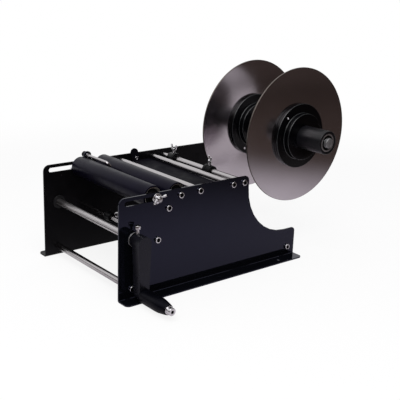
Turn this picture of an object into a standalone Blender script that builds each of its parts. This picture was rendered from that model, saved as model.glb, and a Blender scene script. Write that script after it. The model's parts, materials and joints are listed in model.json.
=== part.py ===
"""A hand-cranked label applicator for round bottles.

Two folded side plates carry two bottle rollers, a peel plate between round bars, a take-up shaft
with a crank, and a spindle with two discs that hold the label roll. X runs across the machine to
the crank side, Y runs from the operator to the label roll, and Z is up.
"""

import math

import bmesh
import bpy
from mathutils import Matrix, Vector

# Fits shared by every piece
touch_gap = 0.0003
running_clearance = 0.0003
cut_overrun = 0.002
weld_distance = 0.00001

# Side plates, folded from sheet, with a foot flange along the bottom
plate_gap = 0.250
sheet = 0.0025
plate_length = 0.413
plate_height = 0.180
front_corner_radius = 0.012
fold_radius = 0.0015
foot_width = 0.0255
foot_corner_radius = 0.008
foot_hole_radius = 0.0035
foot_hole_from_edge = 0.013
foot_hole_from_end = 0.053
fold_steps = 4
corner_step_angle = math.radians(12)

# Rear cut-out of the crank-side plate, which leaves room for a wide label roll
cutout_behind_bar = 0.0128
cutout_rear_flat = 0.029
cutout_straight = 0.013
cutout_corner_radius = 0.010
cutout_end_radius = 0.008

# Rear arm of the far plate, which carries the reel
arm_half_width = 0.030
arm_round_radius = 0.028
arm_root_radius = 0.019
arm_bend_drop = 0.0375
arm_heel_drop = 0.1175
arm_heel_radius = 0.030

# Slots for the front roller's axle
slot_front_share = 0.0266
slot_back_share = 0.2034
slot_half_height = 0.0043

# Bottle rollers
roller_radius = 0.0193
roller_wall = 0.0028
roller_far_x = -0.121
roller_near_x = 0.116
front_roller_share = 0.18354
front_roller_drop = 0.0103
rear_roller_share = 0.30412
rear_roller_drop = 0.012
roller_cap_thickness = 0.008
roller_cap_recess = 0.0025
roller_cap_nose_radius = 0.0056
roller_axle_radius = 0.0045
front_stud_radius = 0.004
front_stud_reach = 0.0105
washer_radius = 0.009
washer_thickness = 0.0015

# Wing nuts and wing screws
wing_span = 0.0316
wing_nut_height = 0.0085
wing_nut_hub_radius = 0.006
wing_nut_hub_share = 0.86
wing_nut_hub_height = 0.0068
wing_thickness = 0.0026
wing_nut_angle = math.radians(25)
wing_screw_span = 0.020
wing_screw_height = 0.0165
wing_screw_hub_radius = 0.0036
wing_screw_hub_height = 0.0085
wing_screw_radius = 0.0025
far_lock_angle = math.radians(-3)
near_lock_angle = math.radians(-23)
lower_lock_angle = math.radians(12)
upright_lean = 0
backward_lean = math.radians(-90)
wing_across_shares = (0.05, 0.18, 0.43, 0.50, 0.33, 0.17, 0.05)
wing_height_shares = (0.04, 0.04, 0.50, 1.00, 1.00, 0.42, 0.42)
wing_round_shares = (0.0, 0.0, 0.05, 0.06, 0.06, 0.0, 0.0)

# Round bars across the frame, placed by their share of the plates' length and below their top edge
bar_radius = 0.006
peel_bar_share = 0.40678
peel_bar_drop = 0.011
web_bar_share = 0.59201
guide_bar_share = 0.65545
web_bar_drop = 0.0117
lower_guide_bar_share = 0.18886
lower_guide_bar_drop = 0.0838
lower_guide_bar_radius = 0.004
middle_tie_share = 0.24213
middle_tie_drop = 0.0310
front_tie_y = 0.0265
rear_tie_inset = 0.0195
bottom_tie_z = 0.0190
tapped_hole_radius = 0.0028
tapped_hole_depth = 0.014
rivet_radius = 0.0025
rivet_head_radius = 0.0038
rivet_head_height = 0.0018

# Socket screws that hold the bars
screw_head_radius = 0.0056
screw_head_height = 0.0034
screw_head_edge = 0.0006
screw_radius = 0.0025
screw_grip = 0.012
socket_radius = 0.0031
socket_depth = 0.0028

# Peel plate between the peel bar and the web bar, with a lug folded up at its far end
peel_plate_thickness = 0.003
peel_plate_drop = 0.0155
lug_radius = 0.0086
lug_thickness = 0.003
lug_behind_bar = 0.0328
lug_lean = 0.0037
lug_rise = 0.001
lug_foot_drop = 0.014
lug_screw_drop = 0.0108
small_head_radius = 0.0042
small_head_height = 0.0026
small_screw_radius = 0.002

# Guide collars on the guide bars
collar_radius = 0.012
collar_length = 0.020
collar_shoulder_share = 0.90
collar_flange_share = 0.35
lower_collar_radius = 0.0088
lower_collar_length = 0.016
far_collar_x = -0.095
near_collar_x = 0.019
lower_collar_x = -0.030

# Bottle stop on the far plate
stop_bracket_radius = 0.008
stop_bracket_share = 0.22397
stop_bracket_rise = 0.009
stop_bracket_foot_drop = 0.0164
stop_rod_radius = 0.003
stop_rod_share = 0.22228
stop_rod_rise = 0.0095
stop_rod_end_x = -0.053
stop_leg_y = 0.0065
stop_leg_z = -0.0075
stop_leg_x = 0.002
stop_bend_radius = 0.005
stop_bend_steps = 5
stop_knob_radius = 0.0058
stop_knob_length = 0.0095
stop_knob_wall = 0.0015

# Take-up shaft and its bushes
take_up_share = 0.07433
take_up_drop = 0.0737
take_up_radius = 0.00625
take_up_head_radius = 0.009
take_up_head_length = 0.0062
take_up_slit_width = 0.0022
take_up_slit_depth = 0.0030
take_up_slit_margin = 0.030
bush_radius = 0.0092
bush_flange_radius = 0.0125
bush_flange_thickness = 0.0017

# Crank, long enough to bring its grip to this height above the table
grip_height = 0.0163
crank_neck_radius = 0.0102
crank_neck_length = 0.0042
crank_hub_radius = 0.0125
crank_hub_length = 0.006
crank_arm_thickness = 0.019
crank_end_radius = 0.0092
crank_clamp_height = 0.0085
crank_clamp_head_radius = 0.005
crank_clamp_head_height = 0.006
crank_edge = 0.0012

# Crank grip
grip_length = 0.0667
grip_radius = 0.013
grip_bore_radius = 0.0046
grip_place_shares = (0.0, 0.03, 0.30, 0.60, 0.72, 0.84, 0.94, 0.985, 1.0)
grip_radius_shares = (0.93, 0.99, 1.0, 0.995, 0.95, 0.85, 0.755, 0.70, 0.66)
grip_screw_radius = 0.004
grip_screw_hold = 0.012
grip_flange_radius = 0.0077
grip_flange_thickness = 0.0018
grip_head_radius = 0.0066
grip_head_height = 0.008
grip_socket_radius = 0.0033
grip_socket_depth = 0.004

# Reel: a fixed axle on the far plate, and a spindle that turns on two bearings
reel_behind_plate = 0.0384
reel_above_plate = 0.0475
axle_radius = 0.0075
axle_shoulder_radius = 0.014
axle_shoulder_length = 0.006
axle_nut_radius = 0.0139
axle_nut_thickness = 0.009
axle_end_radius = 0.0095
axle_end_length = 0.0052
spindle_radius = 0.023
spindle_near_x = 0.162
spindle_far_gap = 0.001
bearing_radius = 0.0175
bearing_width = 0.011
bearing_recess = 0.001
bearing_inner_radius = 0.0098
bearing_seal_depth = 0.0008
bearing_rim = 0.0028

# Reel discs and their hubs
disc_radius = 0.1336
disc_thickness = 0.003
near_disc_x = 0.0805
far_disc_x = -0.050
hub_flange_radius = 0.064
hub_flange_thickness = 0.0085
hub_boss_radius = 0.046
hub_boss_length = 0.012
hub_spigot_radius = 0.030
hub_edge = 0.0012
near_hub_screw_angle = math.radians(135)
far_hub_screw_angle = math.radians(-121)
hub_screw_head_radius = 0.0024
hub_screw_head_height = 0.0014
hub_screw_radius = 0.0014
hub_screw_length = 0.006

# Sides of round pieces
fine_sides = 72
round_sides = 32
bar_sides = 16
screw_sides = 12
hex_sides = 6

# Places along the plates, worked out from the sizes above
slot_front_y = plate_length * slot_front_share
slot_back_y = plate_length * slot_back_share
front_roller_y = plate_length * front_roller_share
front_roller_z = plate_height - front_roller_drop
rear_roller_y = plate_length * rear_roller_share
rear_roller_z = plate_height - rear_roller_drop
peel_bar_y = plate_length * peel_bar_share
peel_bar_z = plate_height - peel_bar_drop
web_bar_y = plate_length * web_bar_share
guide_bar_y = plate_length * guide_bar_share
cutout_front_y = guide_bar_y + cutout_behind_bar
cutout_radius = plate_length - cutout_front_y - cutout_rear_flat
cutout_floor_z = plate_height - cutout_corner_radius - cutout_straight - cutout_radius
web_bar_z = plate_height - web_bar_drop
lower_guide_bar_y = plate_length * lower_guide_bar_share
lower_guide_bar_z = plate_height - lower_guide_bar_drop
middle_tie_y = plate_length * middle_tie_share
middle_tie_z = plate_height - middle_tie_drop
rear_tie_y = plate_length - rear_tie_inset
peel_plate_top_z = plate_height - peel_plate_drop
lug_top_y = peel_bar_y + lug_behind_bar
lug_top_z = plate_height + lug_rise
lug_foot_z = plate_height - lug_foot_drop
lug_screw_y = lug_top_y + lug_lean
lug_screw_z = plate_height - lug_screw_drop
stop_bracket_y = plate_length * stop_bracket_share
stop_bracket_top_z = plate_height + stop_bracket_rise
stop_bracket_foot_z = plate_height - stop_bracket_foot_drop
stop_rod_y = plate_length * stop_rod_share
stop_rod_z = plate_height + stop_rod_rise
take_up_y = plate_length * take_up_share
take_up_z = plate_height - take_up_drop
crank_length = take_up_z - grip_height
reel_y = plate_length + reel_behind_plate
reel_z = plate_height + reel_above_plate
arm_front_y = reel_y - arm_half_width
arm_back_y = reel_y + arm_half_width
arm_top_z = reel_z + arm_half_width
arm_bend_z = reel_z - arm_bend_drop
arm_heel_z = reel_z - arm_heel_drop

hub_screw_circle = (hub_flange_radius + hub_boss_radius) / 2

# Places across the machine
inner_x = plate_gap / 2
outer_x = inner_x + sheet
bar_end_x = inner_x - touch_gap
bend_height = fold_radius + sheet
bend_length = (fold_radius + sheet / 2) * math.pi / 2
blank_low = bend_height - bend_length - (foot_width - fold_radius)
crank_seat_x = outer_x + touch_gap + bush_flange_thickness + touch_gap
crank_hub_x = crank_seat_x + crank_neck_length
crank_arm_x = crank_hub_x + crank_hub_length
crank_face_x = crank_arm_x + crank_arm_thickness
grip_x = crank_face_x + touch_gap
grip_end_x = grip_x + grip_length
grip_head_x = grip_end_x + touch_gap + grip_flange_thickness
machine_far_x = -(outer_x + foot_width)
machine_near_x = grip_head_x + grip_head_height
machine_back_y = reel_y + disc_radius
spindle_far_x = -(inner_x - touch_gap - axle_shoulder_length - spindle_far_gap)
axle_face_x = spindle_near_x - bearing_recess + touch_gap


def clear_scene():
    for thing in list(bpy.data.objects):
        bpy.data.objects.remove(thing)


def new_collection(name):
    group = bpy.data.collections.new(name)
    bpy.context.scene.collection.children.link(group)
    return group


def make_material(name, colour, roughness, metallic):
    finish = bpy.data.materials.new(name)
    finish.use_nodes = True
    surface = finish.node_tree.nodes["Principled BSDF"]
    surface.inputs["Base Color"].default_value = (*colour, 1.0)
    surface.inputs["Roughness"].default_value = roughness
    surface.inputs["Metallic"].default_value = metallic
    finish.diffuse_color = (*colour, 1.0)
    return finish


clear_scene()
machine_parts = new_collection("labeling_machine")
cutters = new_collection("cutters")

black_enamel = make_material("black_enamel", (0.014, 0.014, 0.020), 0.22, 0.0)
dark_anodised = make_material("dark_anodised", (0.045, 0.044, 0.060), 0.42, 0.6)
polished_steel = make_material("polished_steel", (0.72, 0.72, 0.73), 0.22, 1.0)
zinc_steel = make_material("zinc_steel", (0.78, 0.78, 0.78), 0.30, 1.0)
black_plastic = make_material("black_plastic", (0.012, 0.012, 0.014), 0.45, 0.0)
mirror_aluminium = make_material("mirror_aluminium", (0.42, 0.39, 0.40), 0.15, 1.0)


def empty(name, place, holder=None):
    """An empty that holds pieces; its place is in the machine's frame, and so are the pieces' places."""
    marker = bpy.data.objects.new(name, None)
    machine_parts.objects.link(marker)
    marker.location = place
    if holder is not None:
        hold(marker, holder)
    return marker


def machine_place(holder):
    place = Vector()
    while holder.parent is not None:
        place += holder.location
        holder = holder.parent
    return place


def hold(piece, holder):
    piece.parent = holder
    piece.location -= machine_place(holder)


def shade(mesh):
    mesh.shade_smooth()
    mesh.set_sharp_from_angle(angle=math.radians(35))


def add_piece(name, mesh, material, holder, place=(0, 0, 0), turn=(0, 0, 0)):
    piece = bpy.data.objects.new(name, mesh)
    machine_parts.objects.link(piece)
    piece.location = place
    piece.rotation_euler = turn
    mesh.materials.clear()
    mesh.materials.append(material)
    hold(piece, holder)
    return piece


def mesh_from(bm, name):
    mesh = bpy.data.meshes.new(name)
    bmesh.ops.recalc_face_normals(bm, faces=bm.faces)
    bm.to_mesh(mesh)
    bm.free()
    return mesh


def settled_mesh(piece, name):
    """The evaluated mesh of an object, welded; the object itself is removed."""
    graph = bpy.context.evaluated_depsgraph_get()
    mesh = bpy.data.meshes.new_from_object(piece.evaluated_get(graph))
    bpy.data.objects.remove(piece)
    bm = bmesh.new()
    bm.from_mesh(mesh)
    bpy.data.meshes.remove(mesh)
    bmesh.ops.remove_doubles(bm, verts=bm.verts, dist=weld_distance)
    return mesh_from(bm, name)


def arc_points(centre, radius, start, end):
    steps = max(2, math.ceil(abs(end - start) / corner_step_angle))
    angles = [start + (end - start) * step / steps for step in range(steps + 1)]
    return [(centre[0] + radius * math.cos(a), centre[1] + radius * math.sin(a)) for a in angles]


def circle_points(centre, radius, sides):
    angles = [2 * math.pi * side / sides for side in range(sides)]
    return [(centre[0] + radius * math.cos(a), centre[1] + radius * math.sin(a)) for a in angles]


def rounded_outline(corners):
    """Turns corners (u, v, radius) into outline points, with an arc at each corner that has a radius."""
    points = []
    for index, (u, v, radius) in enumerate(corners):
        corner = Vector((u, v))
        if radius == 0:
            points.append((u, v))
            continue
        before = (Vector(corners[index - 1][:2]) - corner).normalized()
        after = (Vector(corners[(index + 1) % len(corners)][:2]) - corner).normalized()
        half_angle = before.angle(after) / 2
        centre = corner + (before + after).normalized() * (radius / math.sin(half_angle))
        first = corner + before * (radius / math.tan(half_angle)) - centre
        last = corner + after * (radius / math.tan(half_angle)) - centre
        start = math.atan2(first.y, first.x)
        sweep = math.atan2(first.x * last.y - first.y * last.x, first.dot(last))
        points += arc_points(centre, radius, start, start + sweep)
    return points


def tapered_outline(low_centre, low_radius, high_centre, high_radius):
    """The outline of two circles joined by their outer tangents."""
    span = Vector(high_centre) - Vector(low_centre)
    heading = math.atan2(span.y, span.x)
    lean = math.acos((low_radius - high_radius) / span.length)
    around = arc_points(high_centre, high_radius, heading - lean, heading + lean)
    return around + arc_points(low_centre, low_radius, heading + lean, heading + 2 * math.pi - lean)


def slot_points(start_u, end_u, v, half_height):
    quarter = math.pi / 2
    back = arc_points((end_u - half_height, v), half_height, -quarter, quarter)
    return back + arc_points((start_u + half_height, v), half_height, quarter, 3 * quarter)


def sheet_mesh(name, outlines, thickness):
    """A flat sheet in local X and Y: the first outline is its edge, the others are holes."""
    curve = bpy.data.curves.new(name, "CURVE")
    curve.dimensions = "2D"
    curve.fill_mode = "BOTH"
    curve.extrude = thickness / 2
    for outline in outlines:
        spline = curve.splines.new("POLY")
        spline.points.add(len(outline) - 1)
        for point, (u, v) in zip(spline.points, outline):
            point.co = (u, v, 0, 1)
        spline.use_cyclic_u = True
    flat = bpy.data.objects.new(name, curve)
    machine_parts.objects.link(flat)
    bpy.context.view_layer.update()
    return settled_mesh(flat, name)


def upright_mesh(name, outlines, thickness, low_x):
    """A sheet whose outline is given in machine Y and Z, with its low face at low_x."""
    mesh = sheet_mesh(name, outlines, thickness)
    stand = Matrix(((0, 0, 1, low_x + thickness / 2), (1, 0, 0, 0), (0, 1, 0, 0), (0, 0, 0, 1)))
    mesh.transform(stand)
    return mesh


def turned_object(name, profile, sides):
    """A turned solid about local Z. The profile is (place, radius), down its outer side from the high end."""
    mesh = bpy.data.meshes.new(name)
    closed = profile[0][1] > 0
    count = len(profile)
    edges = [(i, i + 1) for i in range(count - 1)] + ([(count - 1, 0)] if closed else [])
    mesh.from_pydata([(radius, 0, place) for place, radius in profile], edges, [])
    piece = bpy.data.objects.new(name, mesh)
    machine_parts.objects.link(piece)
    screw = piece.modifiers.new("turn", "SCREW")
    screw.axis = "Z"
    screw.steps = sides
    screw.render_steps = sides
    screw.use_merge_vertices = True
    screw.merge_threshold = weld_distance
    screw.use_smooth_shade = True
    bpy.context.view_layer.update()
    return piece


def turned_mesh(name, profile, sides, lie_along_x=True):
    mesh = settled_mesh(turned_object(name, profile, sides), name)
    if lie_along_x:
        mesh.transform(Matrix.Rotation(math.pi / 2, 4, "Y"))
    return mesh


def solid_profile(low, high, radius, edge=0):
    if edge == 0:
        return [(high, 0), (high, radius), (low, radius), (low, 0)]
    ends = [(high, 0), (high, radius - edge), (high - edge, radius)]
    return ends + [(low + edge, radius), (low, radius - edge), (low, 0)]


def ring_profile(low, high, radius, bore):
    return [(high, bore), (high, radius), (low, radius), (low, bore)]


def combine(name, base, tool, operation):
    """The Boolean result of two meshes, as one mesh."""
    body = bpy.data.objects.new(name, base)
    machine_parts.objects.link(body)
    helper = bpy.data.objects.new(name + "_tool", tool)
    cutters.objects.link(helper)
    helper.hide_render = True
    helper.display_type = "WIRE"
    boolean = body.modifiers.new("combine", "BOOLEAN")
    boolean.operation = operation
    boolean.solver = "EXACT"
    boolean.object = helper
    bpy.context.view_layer.update()
    result = settled_mesh(body, name)
    bpy.data.objects.remove(helper)
    return result


def cut(name, base, tool):
    return combine(name, base, tool, "DIFFERENCE")


def fuse(name, base, tool):
    return combine(name, base, tool, "UNION")


def placed(mesh, x=0, y=0, z=0):
    mesh.transform(Matrix.Translation((x, y, z)))
    return mesh


def upright_pin(name, radius, low, high, sides):
    return turned_mesh(name, solid_profile(low, high, radius), sides, lie_along_x=False)


def fold_foot(mesh, side):
    """Folds a flat blank, given in local X and Y, into a side plate with its foot flange outward."""
    bm = bmesh.new()
    bm.from_mesh(mesh)
    bpy.data.meshes.remove(mesh)
    for step in range(fold_steps + 1):
        line = bend_height - bend_length * step / fold_steps
        geometry = bm.verts[:] + bm.edges[:] + bm.faces[:]
        bmesh.ops.bisect_plane(bm, geom=geometry, plane_co=(0, line, 0), plane_no=(0, 1, 0))
    centre_x = outer_x + fold_radius
    for vertex in bm.verts:
        along, height, depth = vertex.co
        outward = depth + sheet / 2
        reach = fold_radius + sheet - outward
        past = bend_height - height
        if past <= 0:
            x, z = inner_x + outward, height
        elif past < bend_length:
            angle = past / bend_length * math.pi / 2
            x = centre_x - reach * math.cos(angle)
            z = bend_height - reach * math.sin(angle)
        else:
            x, z = centre_x + past - bend_length, outward
        vertex.co = (side * x, along, z)
    bmesh.ops.dissolve_degenerate(bm, dist=weld_distance, edges=bm.edges)
    return mesh_from(bm, "side_plate")


def bar_places():
    """The bars that are screwed between the plates: name to (Y, Z, radius)."""
    return {
        "peel_bar": (peel_bar_y, peel_bar_z, bar_radius),
        "web_bar": (web_bar_y, web_bar_z, bar_radius),
        "guide_bar": (guide_bar_y, web_bar_z, bar_radius),
        "lower_guide_bar": (lower_guide_bar_y, lower_guide_bar_z, lower_guide_bar_radius),
        "middle_tie_bar": (middle_tie_y, middle_tie_z, bar_radius),
        "front_tie_bar": (front_tie_y, bottom_tie_z, bar_radius),
        "rear_tie_bar": (rear_tie_y, bottom_tie_z, bar_radius),
        "rear_roller_axle": (rear_roller_y, rear_roller_z, roller_axle_radius),
    }


def plate_holes():
    """Holes that both plates have: the slot, the bush hole, the bars' holes and the foot's own holes."""
    hole_radius = screw_radius + running_clearance
    holes = [slot_points(slot_front_y, slot_back_y, front_roller_z, slot_half_height)]
    holes.append(circle_points((take_up_y, take_up_z), bush_radius + running_clearance, bar_sides))
    holes += [circle_points((y, z), hole_radius, screw_sides) for y, z, _ in bar_places().values()]
    foot_line = blank_low + foot_hole_from_edge
    for y in (foot_hole_from_end, plate_length - foot_hole_from_end):
        holes.append(circle_points((y, foot_line), foot_hole_radius, screw_sides))
    return holes


def add_near_plate(holder):
    corners = [
        (0, blank_low, foot_corner_radius),
        (0, plate_height, front_corner_radius),
        (cutout_front_y, plate_height, cutout_corner_radius),
        (cutout_front_y, cutout_floor_z, cutout_radius),
        (plate_length, cutout_floor_z, cutout_end_radius),
        (plate_length, blank_low, foot_corner_radius),
    ]
    blank = sheet_mesh("near_side_plate", [rounded_outline(corners)] + plate_holes(), sheet)
    add_piece("near_side_plate", fold_foot(blank, 1), black_enamel, holder)


def add_far_plate(holder):
    corners = [
        (0, blank_low, foot_corner_radius),
        (0, plate_height, front_corner_radius),
        (arm_front_y, plate_height, arm_root_radius),
        (arm_front_y, arm_top_z, arm_round_radius),
        (arm_back_y, arm_top_z, arm_round_radius),
        (arm_back_y, arm_bend_z, arm_heel_radius),
        (plate_length, arm_heel_z, arm_heel_radius),
        (plate_length, blank_low, foot_corner_radius),
    ]
    holes = plate_holes()
    small_hole = small_screw_radius + running_clearance
    holes.append(circle_points((reel_y, reel_z), axle_radius + running_clearance, bar_sides))
    holes.append(circle_points((lug_screw_y, lug_screw_z), small_hole, screw_sides))
    holes.append(circle_points((stop_bracket_y, stop_bracket_foot_z), small_hole, screw_sides))
    blank = sheet_mesh("far_side_plate", [rounded_outline(corners)] + holes, sheet)
    add_piece("far_side_plate", fold_foot(blank, -1), black_enamel, holder)


def bar_mesh(name, radius):
    """A bar across the frame: a tapped hole in its near end, and a spigot riveted over at its far end."""
    bottom = bar_end_x - tapped_hole_depth
    head_x = -(outer_x + touch_gap)
    profile = [(bottom, 0), (bottom, tapped_hole_radius), (bar_end_x, tapped_hole_radius), (bar_end_x, radius),
               (-bar_end_x, radius), (-bar_end_x, rivet_radius), (head_x, rivet_radius),
               (head_x, rivet_head_radius), (head_x - rivet_head_height, rivet_radius),
               (head_x - rivet_head_height, 0)]
    return turned_mesh(name, profile, bar_sides)


def add_bars(holder):
    for name, (y, z, radius) in bar_places().items():
        add_piece(name, bar_mesh(name, radius), polished_steel, holder, (0, y, z))


def socket_screw_mesh(name, head_radius, head_height, shank_radius, length, hex_radius, hex_depth, edge):
    """A socket screw along local Z, seated at zero, with its head above."""
    profile = [
        (head_height, 0),
        (head_height, head_radius - edge),
        (head_height - edge, head_radius),
        (0, head_radius),
        (0, shank_radius),
        (-length, shank_radius),
        (-length, 0),
    ]
    body = turned_mesh(name, profile, screw_sides, lie_along_x=False)
    floor = head_height - hex_depth
    hexagon = upright_pin(name, hex_radius, floor, head_height + cut_overrun, hex_sides)
    return cut(name, body, hexagon)


def lying(side):
    """Turns local Z to point outward along X on the given side."""
    return Matrix.Rotation(side * math.pi / 2, 4, "Y")


def add_bar_screws(holder):
    """The screws that hold the bars to the near plate."""
    screw = socket_screw_mesh("bar_screw", screw_head_radius, screw_head_height, screw_radius, screw_grip,
                              socket_radius, socket_depth, screw_head_edge)
    screw.transform(lying(1))
    for name, (y, z, _) in bar_places().items():
        add_piece(name + "_screw", screw, zinc_steel, holder, (outer_x + touch_gap, y, z))


def add_peel_plate(holder):
    """The flat plate that the web slides over, between the peel bar and the web bar, under their middles."""
    clear = bar_radius + touch_gap
    front_y = peel_bar_y + math.sqrt(clear ** 2 - (peel_bar_z - peel_plate_top_z) ** 2)
    back_y = web_bar_y - math.sqrt(clear ** 2 - (web_bar_z - peel_plate_top_z) ** 2)
    low_x = -bar_end_x
    outline = [(low_x, front_y), (bar_end_x, front_y), (bar_end_x, back_y), (low_x, back_y)]
    flat = sheet_mesh("peel_plate", [outline], peel_plate_thickness)
    placed(flat, z=peel_plate_top_z - peel_plate_thickness / 2)
    hole = circle_points((lug_screw_y, lug_screw_z), small_screw_radius + running_clearance, screw_sides)
    shape = tapered_outline((lug_screw_y, lug_foot_z), lug_radius, (lug_top_y, lug_top_z), lug_radius)
    lug = upright_mesh("lug", [shape, hole], lug_thickness, low_x)
    add_piece("peel_plate", fuse("peel_plate", flat, lug), black_enamel, holder)


def add_small_screws(holder):
    """The peel plate's screw, headed inside the far plate, and the stop bracket's, headed outside it."""
    length = lug_thickness + touch_gap + sheet
    inside = socket_screw_mesh("inside_screw", small_head_radius, small_head_height, small_screw_radius,
                               length, small_screw_radius, small_head_height / 2, screw_head_edge)
    outside = inside.copy()
    inside.transform(lying(1))
    outside.transform(lying(-1))
    seat = -(bar_end_x - lug_thickness - touch_gap)
    add_piece("peel_plate_screw", inside, zinc_steel, holder, (seat, lug_screw_y, lug_screw_z))
    seat = -(outer_x + touch_gap)
    add_piece("stop_bracket_screw", outside, zinc_steel, holder, (seat, stop_bracket_y, stop_bracket_foot_z))


def add_roller(prefix, y, z, spin_holder):
    """A tube with a bearing in each end, whose nose keeps it clear of the side plate."""
    bore = roller_radius - roller_wall
    profile = ring_profile(roller_far_x, roller_near_x, roller_radius, bore)
    tube = turned_mesh(prefix + "_roller", profile, round_sides)
    add_piece(prefix + "_roller", tube, dark_anodised, spin_holder, (0, y, z))
    outer = bore - touch_gap
    inner = roller_axle_radius + running_clearance
    nose = roller_cap_nose_radius
    for end, face_x in (("near", roller_near_x - roller_cap_recess), ("far", roller_far_x + roller_cap_recess)):
        side = math.copysign(1, face_x)
        depth = face_x - side * roller_cap_thickness
        profile = [(side * bar_end_x, inner), (side * bar_end_x, nose), (face_x, nose), (face_x, outer),
                   (depth, outer), (depth, inner)]
        name = prefix + "_roller_" + end + "_bearing"
        cap = turned_mesh(name, profile[::int(side)], bar_sides)
        add_piece(name, cap, black_plastic, spin_holder, (0, y, z))


def add_front_axle(holder):
    """The front roller's axle, whose threaded ends pass through the slots, and its washers."""
    place = (0, front_roller_y, front_roller_z)
    end = outer_x + front_stud_reach
    half = [(end, 0), (end, front_stud_radius), (bar_end_x, front_stud_radius), (bar_end_x, roller_axle_radius)]
    mesh = turned_mesh("front_roller_axle", half + [(-x, r) for x, r in reversed(half)], bar_sides)
    add_piece("front_roller_axle", mesh, polished_steel, holder, place)
    bore = front_stud_radius + running_clearance
    low = outer_x + touch_gap
    near = turned_mesh("washer", ring_profile(low, low + washer_thickness, washer_radius, bore), bar_sides)
    far = turned_mesh("washer", ring_profile(-low - washer_thickness, -low, washer_radius, bore), bar_sides)
    add_piece("near_axle_washer", near, zinc_steel, holder, place)
    add_piece("far_axle_washer", far, zinc_steel, holder, place)


def wing_mesh(name, span, height, side):
    """One wing as an upright flat shape in local X and Z, centred in local Y."""
    shares = zip(wing_across_shares, wing_height_shares, wing_round_shares)
    corners = [(side * across * span, up * height, turn * span) for across, up, turn in shares]
    mesh = sheet_mesh(name, [rounded_outline(corners)], wing_thickness)
    mesh.transform(Matrix.Rotation(math.pi / 2, 4, "X"))
    return mesh


def winged_mesh(name, span, height, hub_profile):
    body = turned_mesh(name, hub_profile, bar_sides, lie_along_x=False)
    for side in (1, -1):
        body = fuse(name, body, wing_mesh(name, span, height, side))
    return body


def add_wing_nuts(holder):
    """A wing nut on each end of the front axle, each with its own turning holder."""
    for side, prefix in ((1, "near"), (-1, "far")):
        name = prefix + "_wing_nut"
        hub = [(wing_nut_hub_height, 0), (wing_nut_hub_height, wing_nut_hub_radius * wing_nut_hub_share),
               (0, wing_nut_hub_radius), (0, 0)]
        nut = winged_mesh(name, wing_span, wing_nut_height, hub)
        bore = upright_pin(name, front_stud_radius + running_clearance, -cut_overrun,
                           wing_nut_height + cut_overrun, bar_sides)
        nut = cut(name, nut, bore)
        quarter_turn = Matrix.Rotation(math.pi / 2, 4, "Z")
        nut.transform(Matrix.Rotation(wing_nut_angle, 4, "X") @ lying(side) @ quarter_turn)
        seat = side * (outer_x + washer_thickness + 2 * touch_gap)
        turning = empty(name + "_turn", (seat, front_roller_y, front_roller_z), holder)
        add_piece(name, nut, zinc_steel, turning, (seat, front_roller_y, front_roller_z))


def collar_mesh(name, low, high, radius, bore, flange_low):
    """A stepped collar: its wide end is a flange, at the low end or at the high one."""
    shoulder = radius * collar_shoulder_share
    flange = (high - low) * collar_flange_share
    if flange_low:
        steps = [(high, shoulder), (low + flange, shoulder), (low + flange, radius), (low, radius)]
    else:
        steps = [(high, radius), (high - flange, radius), (high - flange, shoulder), (low, shoulder)]
    return turned_mesh(name, [(high, bore)] + steps + [(low, bore)], bar_sides)


def add_guide_collar(prefix, place, bar_r, radius, length, flange_low, lock_lean, lock_angle, holder):
    """A collar that slides along a bar, with a wing screw that locks it. Its place is its low end."""
    low_x, bar_y, bar_z = place
    slide = empty(prefix + "_guide_slide", place, holder)
    name = prefix + "_guide_collar"
    mesh = collar_mesh(name, low_x, low_x + length, radius, bar_r + running_clearance, flange_low)
    middle_x = low_x + length / 2
    hole = upright_pin(name, wing_screw_radius + running_clearance, 0, radius + cut_overrun, screw_sides)
    hole.transform(Matrix.Rotation(lock_lean, 4, "X"))
    mesh = cut(name, mesh, placed(hole, x=middle_x))
    add_piece(name, mesh, black_plastic, slide, (0, bar_y, bar_z))
    tip = bar_r + running_clearance
    seat = radius + touch_gap
    name = prefix + "_wing_screw"
    hub = [(seat + wing_screw_hub_height, 0), (seat + wing_screw_hub_height, wing_screw_hub_radius),
           (seat, wing_screw_hub_radius), (seat, wing_screw_radius), (tip, wing_screw_radius), (tip, 0)]
    body = turned_mesh(name, hub, bar_sides, lie_along_x=False)
    for side in (1, -1):
        wing = wing_mesh(name, wing_screw_span, wing_screw_height, side)
        body = fuse(name, body, placed(wing, z=seat))
    body.transform(Matrix.Rotation(lock_lean, 4, "X") @ Matrix.Rotation(lock_angle, 4, "Z"))
    turning = empty(name + "_turn", (middle_x, bar_y, bar_z), slide)
    add_piece(name, body, zinc_steel, turning, (middle_x, bar_y, bar_z))


def stop_rod_path():
    """The stop rod's centre line from its outer end: straight, one bend, then a short leg. It starts at zero."""
    along = Vector((1, 0, 0))
    leg = Vector((stop_leg_x, stop_leg_y, stop_leg_z))
    angle = along.angle(leg)
    corner = Vector((stop_rod_end_x, 0, 0))
    setback = stop_bend_radius * math.tan(angle / 2)
    start = corner - along * setback
    across = (leg - along * leg.dot(along)).normalized()
    path = []
    for step in range(stop_bend_steps + 1):
        turned = angle * step / stop_bend_steps
        path.append(start + along * (stop_bend_radius * math.sin(turned))
                    + across * (stop_bend_radius * (1 - math.cos(turned))))
    return path + [corner + leg]


def wire_mesh(name, path, radius):
    curve = bpy.data.curves.new(name, "CURVE")
    curve.dimensions = "3D"
    curve.bevel_depth = radius
    curve.bevel_resolution = 3
    curve.use_fill_caps = True
    spline = curve.splines.new("POLY")
    spline.points.add(len(path) - 1)
    for point, place in zip(spline.points, path):
        point.co = (*place, 1)
    wire = bpy.data.objects.new(name, curve)
    machine_parts.objects.link(wire)
    bpy.context.view_layer.update()
    return settled_mesh(wire, name)


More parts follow.
